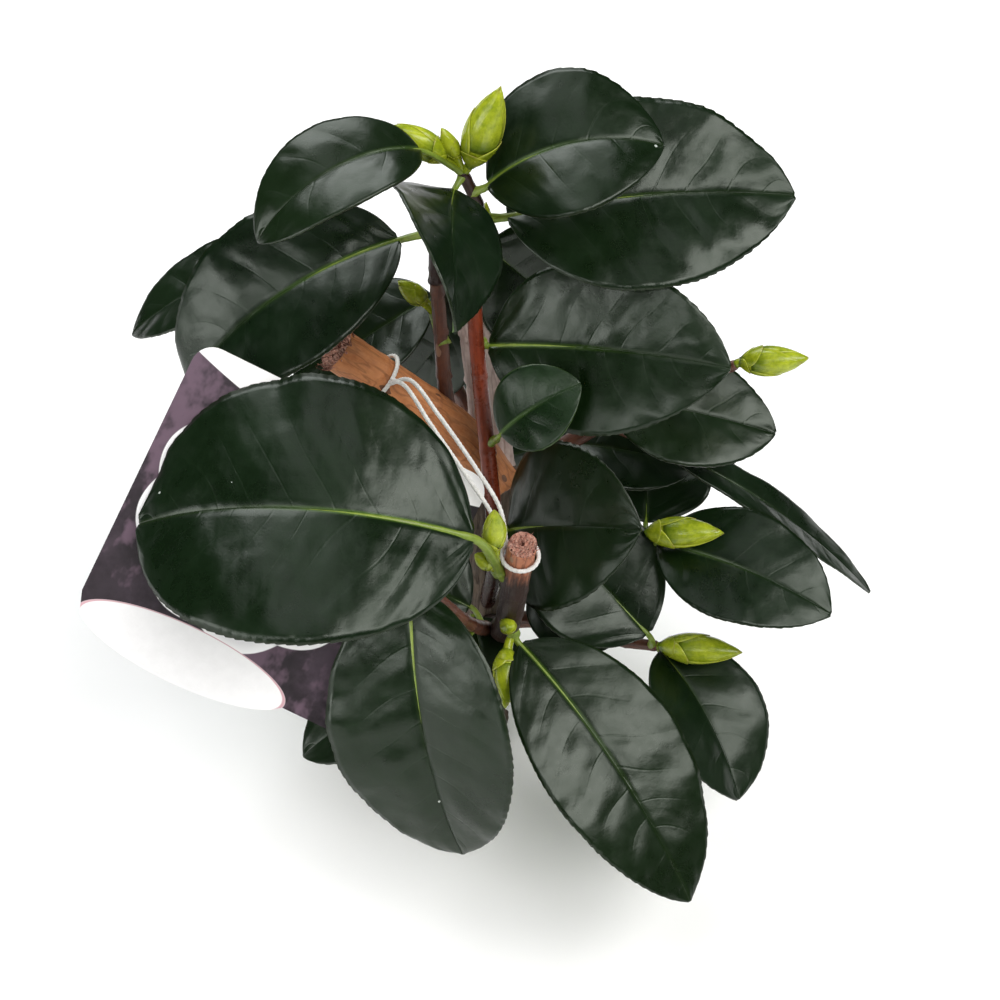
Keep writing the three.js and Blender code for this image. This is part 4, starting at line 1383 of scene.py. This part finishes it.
def fibreFinish(name, look, **sockets):  # plain paper or string: two tones, crossed by darker fibres
    material, tree, shader = newFinish(name, **sockets)
    flat = read(tree, "flat")
    tone = mottled(tree, flat, look["mottle"], look["contrast"], look["tones"])
    fibres = useGroup(tree, lengthFibres, Vector=flat, Scale=look["fibre"], Stretch=look["stretch"])
    gaps = times(tree, fibres["Cracks"], look["gapShare"])
    fill(tree, shader.inputs["Base Color"], mixColour(tree, gaps, tone["Colour"], look["gap"]))
    roughFrom(tree, shader, tone["Mask"], look["rough"])
    bumpFrom(tree, shader, fibres["Mask"], look["bump"], look["reliefHigh"])
    return material


def buildLabel():
    bm, layers = startPart()
    wide, high, panel, hole = label["wide"], label["high"], label["panel"], label["hole"]
    corners = [(0, 0), (wide, 0), (wide, -high), (panel["to"], -high)]
    for step in range(1, 24): # the panel's rounded foot
        share = step / 24
        x = mix(panel["to"], panel["from"], smooth(0, 1, share) * 0.25 + share * 0.75)
        corners.append((x, -high - panel["deep"] * (1 - (2 * share - 1) ** 2) ** 0.8))
    corners += [(panel["from"], -high), (0, -high + label["round"])]
    card = bm.faces.new([bm.verts.new((x, y, 0)) for x, y in corners])
    bmesh.ops.bevel(bm, geom=card.verts[:2], offset=label["round"], segments=8, profile=0.5,
                    affect="VERTICES", material=-1)
    bmesh.ops.delete(bm, geom=bm.faces[:], context="FACES_ONLY")
    punch = Matrix.Translation((hole["x"], -hole["y"], 0))
    bmesh.ops.create_circle(bm, segments=32, radius=hole["radius"], matrix=punch)
    bmesh.ops.triangle_fill(bm, edges=bm.edges[:], use_beauty=True)
    for step in range(1, label["strips"]): # lines across, so that the card can bow
        whole = bm.verts[:] + bm.edges[:] + bm.faces[:]
        place = (wide * step / label["strips"], 0, 0)
        bmesh.ops.bisect_plane(bm, geom=whole, plane_co=place, plane_no=(1, 0, 0))
    for vert in bm.verts:
        x, y = vert.co.x, vert.co.y
        spot, facing = cardSpot(x, y)
        vert[layers["flat"]] = (x * mm, y * mm, 0)
        vert.co = (spot + facing * label["thick"] / 2) * mm
    front = bm.faces[:]
    for face in front:
        face.normal_update()
    if front[0].normal.dot(facing) < 0:
        bmesh.ops.reverse_faces(bm, faces=front)
    bmesh.ops.solidify(bm, geom=front, thickness=label["thick"] * mm)
    printed = set(front)
    for face in bm.faces:
        face.material_index = 0 if face in printed else 1
    parts = []
    keepPart(parts, bm)
    finishes = [printFinish(), fibreFinish("labelBack", cardBack, Specular_IOR_Level=0.3)]
    card = joinParts(parts, "swing_label_card", finishes, "swing_label", "label_card")
    card.data.set_sharp_from_angle(angle=math.radians(40))


# the white string: two plies twisted together, looped round the shoots and through the card's hole

string = {
    "radius": 0.60,
    "plyPitch": 2.6, # along the string for one turn of a ply
    "lobe": 0.30, # how deep the groove between the plies is, as a share of the radius
    "fray": 0.05,
    "slack": 1.5, # of the loop through the card's hole
    "sides": 16,
    "step": 0.36,
    "rings": [
        {"centre": (15.5, -52.2, 121.5), "axis": (3, -13, 43), "radius": 5.1},
        {"centre": (-24, 0.6, 142.4), "axis": (-19, -1, 17), "radius": 7.4},
    ],
    "strands": [
        [(10.5, -51.4, 122.1), (8, -48, 132), (2, -43, 140),
         (-9, -28, 148), (-16, -14, 150), (-20.5, -4.8, 146)],
        [(11.8, -49, 122.7), (10, -46, 133), (4, -41, 142),
         (-7, -25.5, 149.5), (-15, -12, 151), (-21.2, -5.7, 145.1)],
        [(-27.5, -4.4, 138.2), (-26, -14, 134), (-20, -26, 137), (-15.8, -31.5, 142.7)],
    ],
}

stringTones = {
    "tones": ((0.58, 0.57, 0.54, 1), (0.86, 0.85, 0.82, 1)), "mottle": 500.0, "contrast": 2.0,
    "fibre": 2600.0, "stretch": 0.25, "gap": (0.40, 0.38, 0.35, 1), "gapShare": 0.3,
    "rough": (0.75, 0.9), "bump": 0.6, "reliefHigh": 0.00012,
}


def ringPath(centre, axis, radius): # a little more than one turn, so that the ends overlap
    turn = Vector((0, 0, 1)).rotation_difference(Vector(axis).normalized())
    steps = 20
    return [Vector(centre) + turn @ Vector((math.cos(a), math.sin(a), 0)) * radius
            for a in (math.tau * step / steps for step in range(steps + 2))]


def buildString():
    def plyRadius(share, turn, reach):
        lean = math.tau * reach / string["plyPitch"]
        fray = string["fray"] * noise.noise(Vector((reach * 2.3, math.cos(turn), math.sin(turn))))
        lobe = string["lobe"] * (abs(math.cos(turn - lean)) ** 0.7 * 1.25 - 1)
        return string["radius"] * (1 + lobe) + fray

    hole = label["hole"]
    middle, _ = cardSpot(hole["x"], string["slack"] - hole["y"] / 2)
    halfWay = hole["y"] / 2 + string["slack"]
    rings = string["rings"] + [{"centre": middle, "axis": label["across"], "radius": halfWay}]
    parts = []
    for path in [ringPath(**ring) for ring in rings] + string["strands"]:
        growTube(parts, path, string["sides"], string["step"], plyRadius)
    finish = fibreFinish("stringFibre", stringTones, Specular_IOR_Level=0.2, Sheen_Weight=0.3)
    joinParts(parts, "label_string_twist", [finish], "label_string", "string")


buildLabel()
buildString()
print("label and string made")


def buildFloor():
    bm = bmesh.new()
    bmesh.ops.create_circle(bm, cap_ends=True, segments=128, radius=studio["floorSize"] / 2)
    mesh = bpy.data.meshes.new("floor")
    bm.to_mesh(mesh)
    bm.free()
    material, tree, shader = newFinish("paleFloor", Roughness=0.9, Specular_IOR_Level=0.2)
    place = addNode(tree, "TexCoord").outputs["Object"]
    pale = mottled(tree, place, 3.0, 1.5, (studio["floorShade"], studio["floorPale"]))
    fill(tree, shader.inputs["Base Color"], pale["Colour"])
    mesh.materials.append(material)
    floor = bpy.data.objects.new("floor", mesh)
    scene.collection.objects.link(floor)


buildFloor()
print("floor laid")
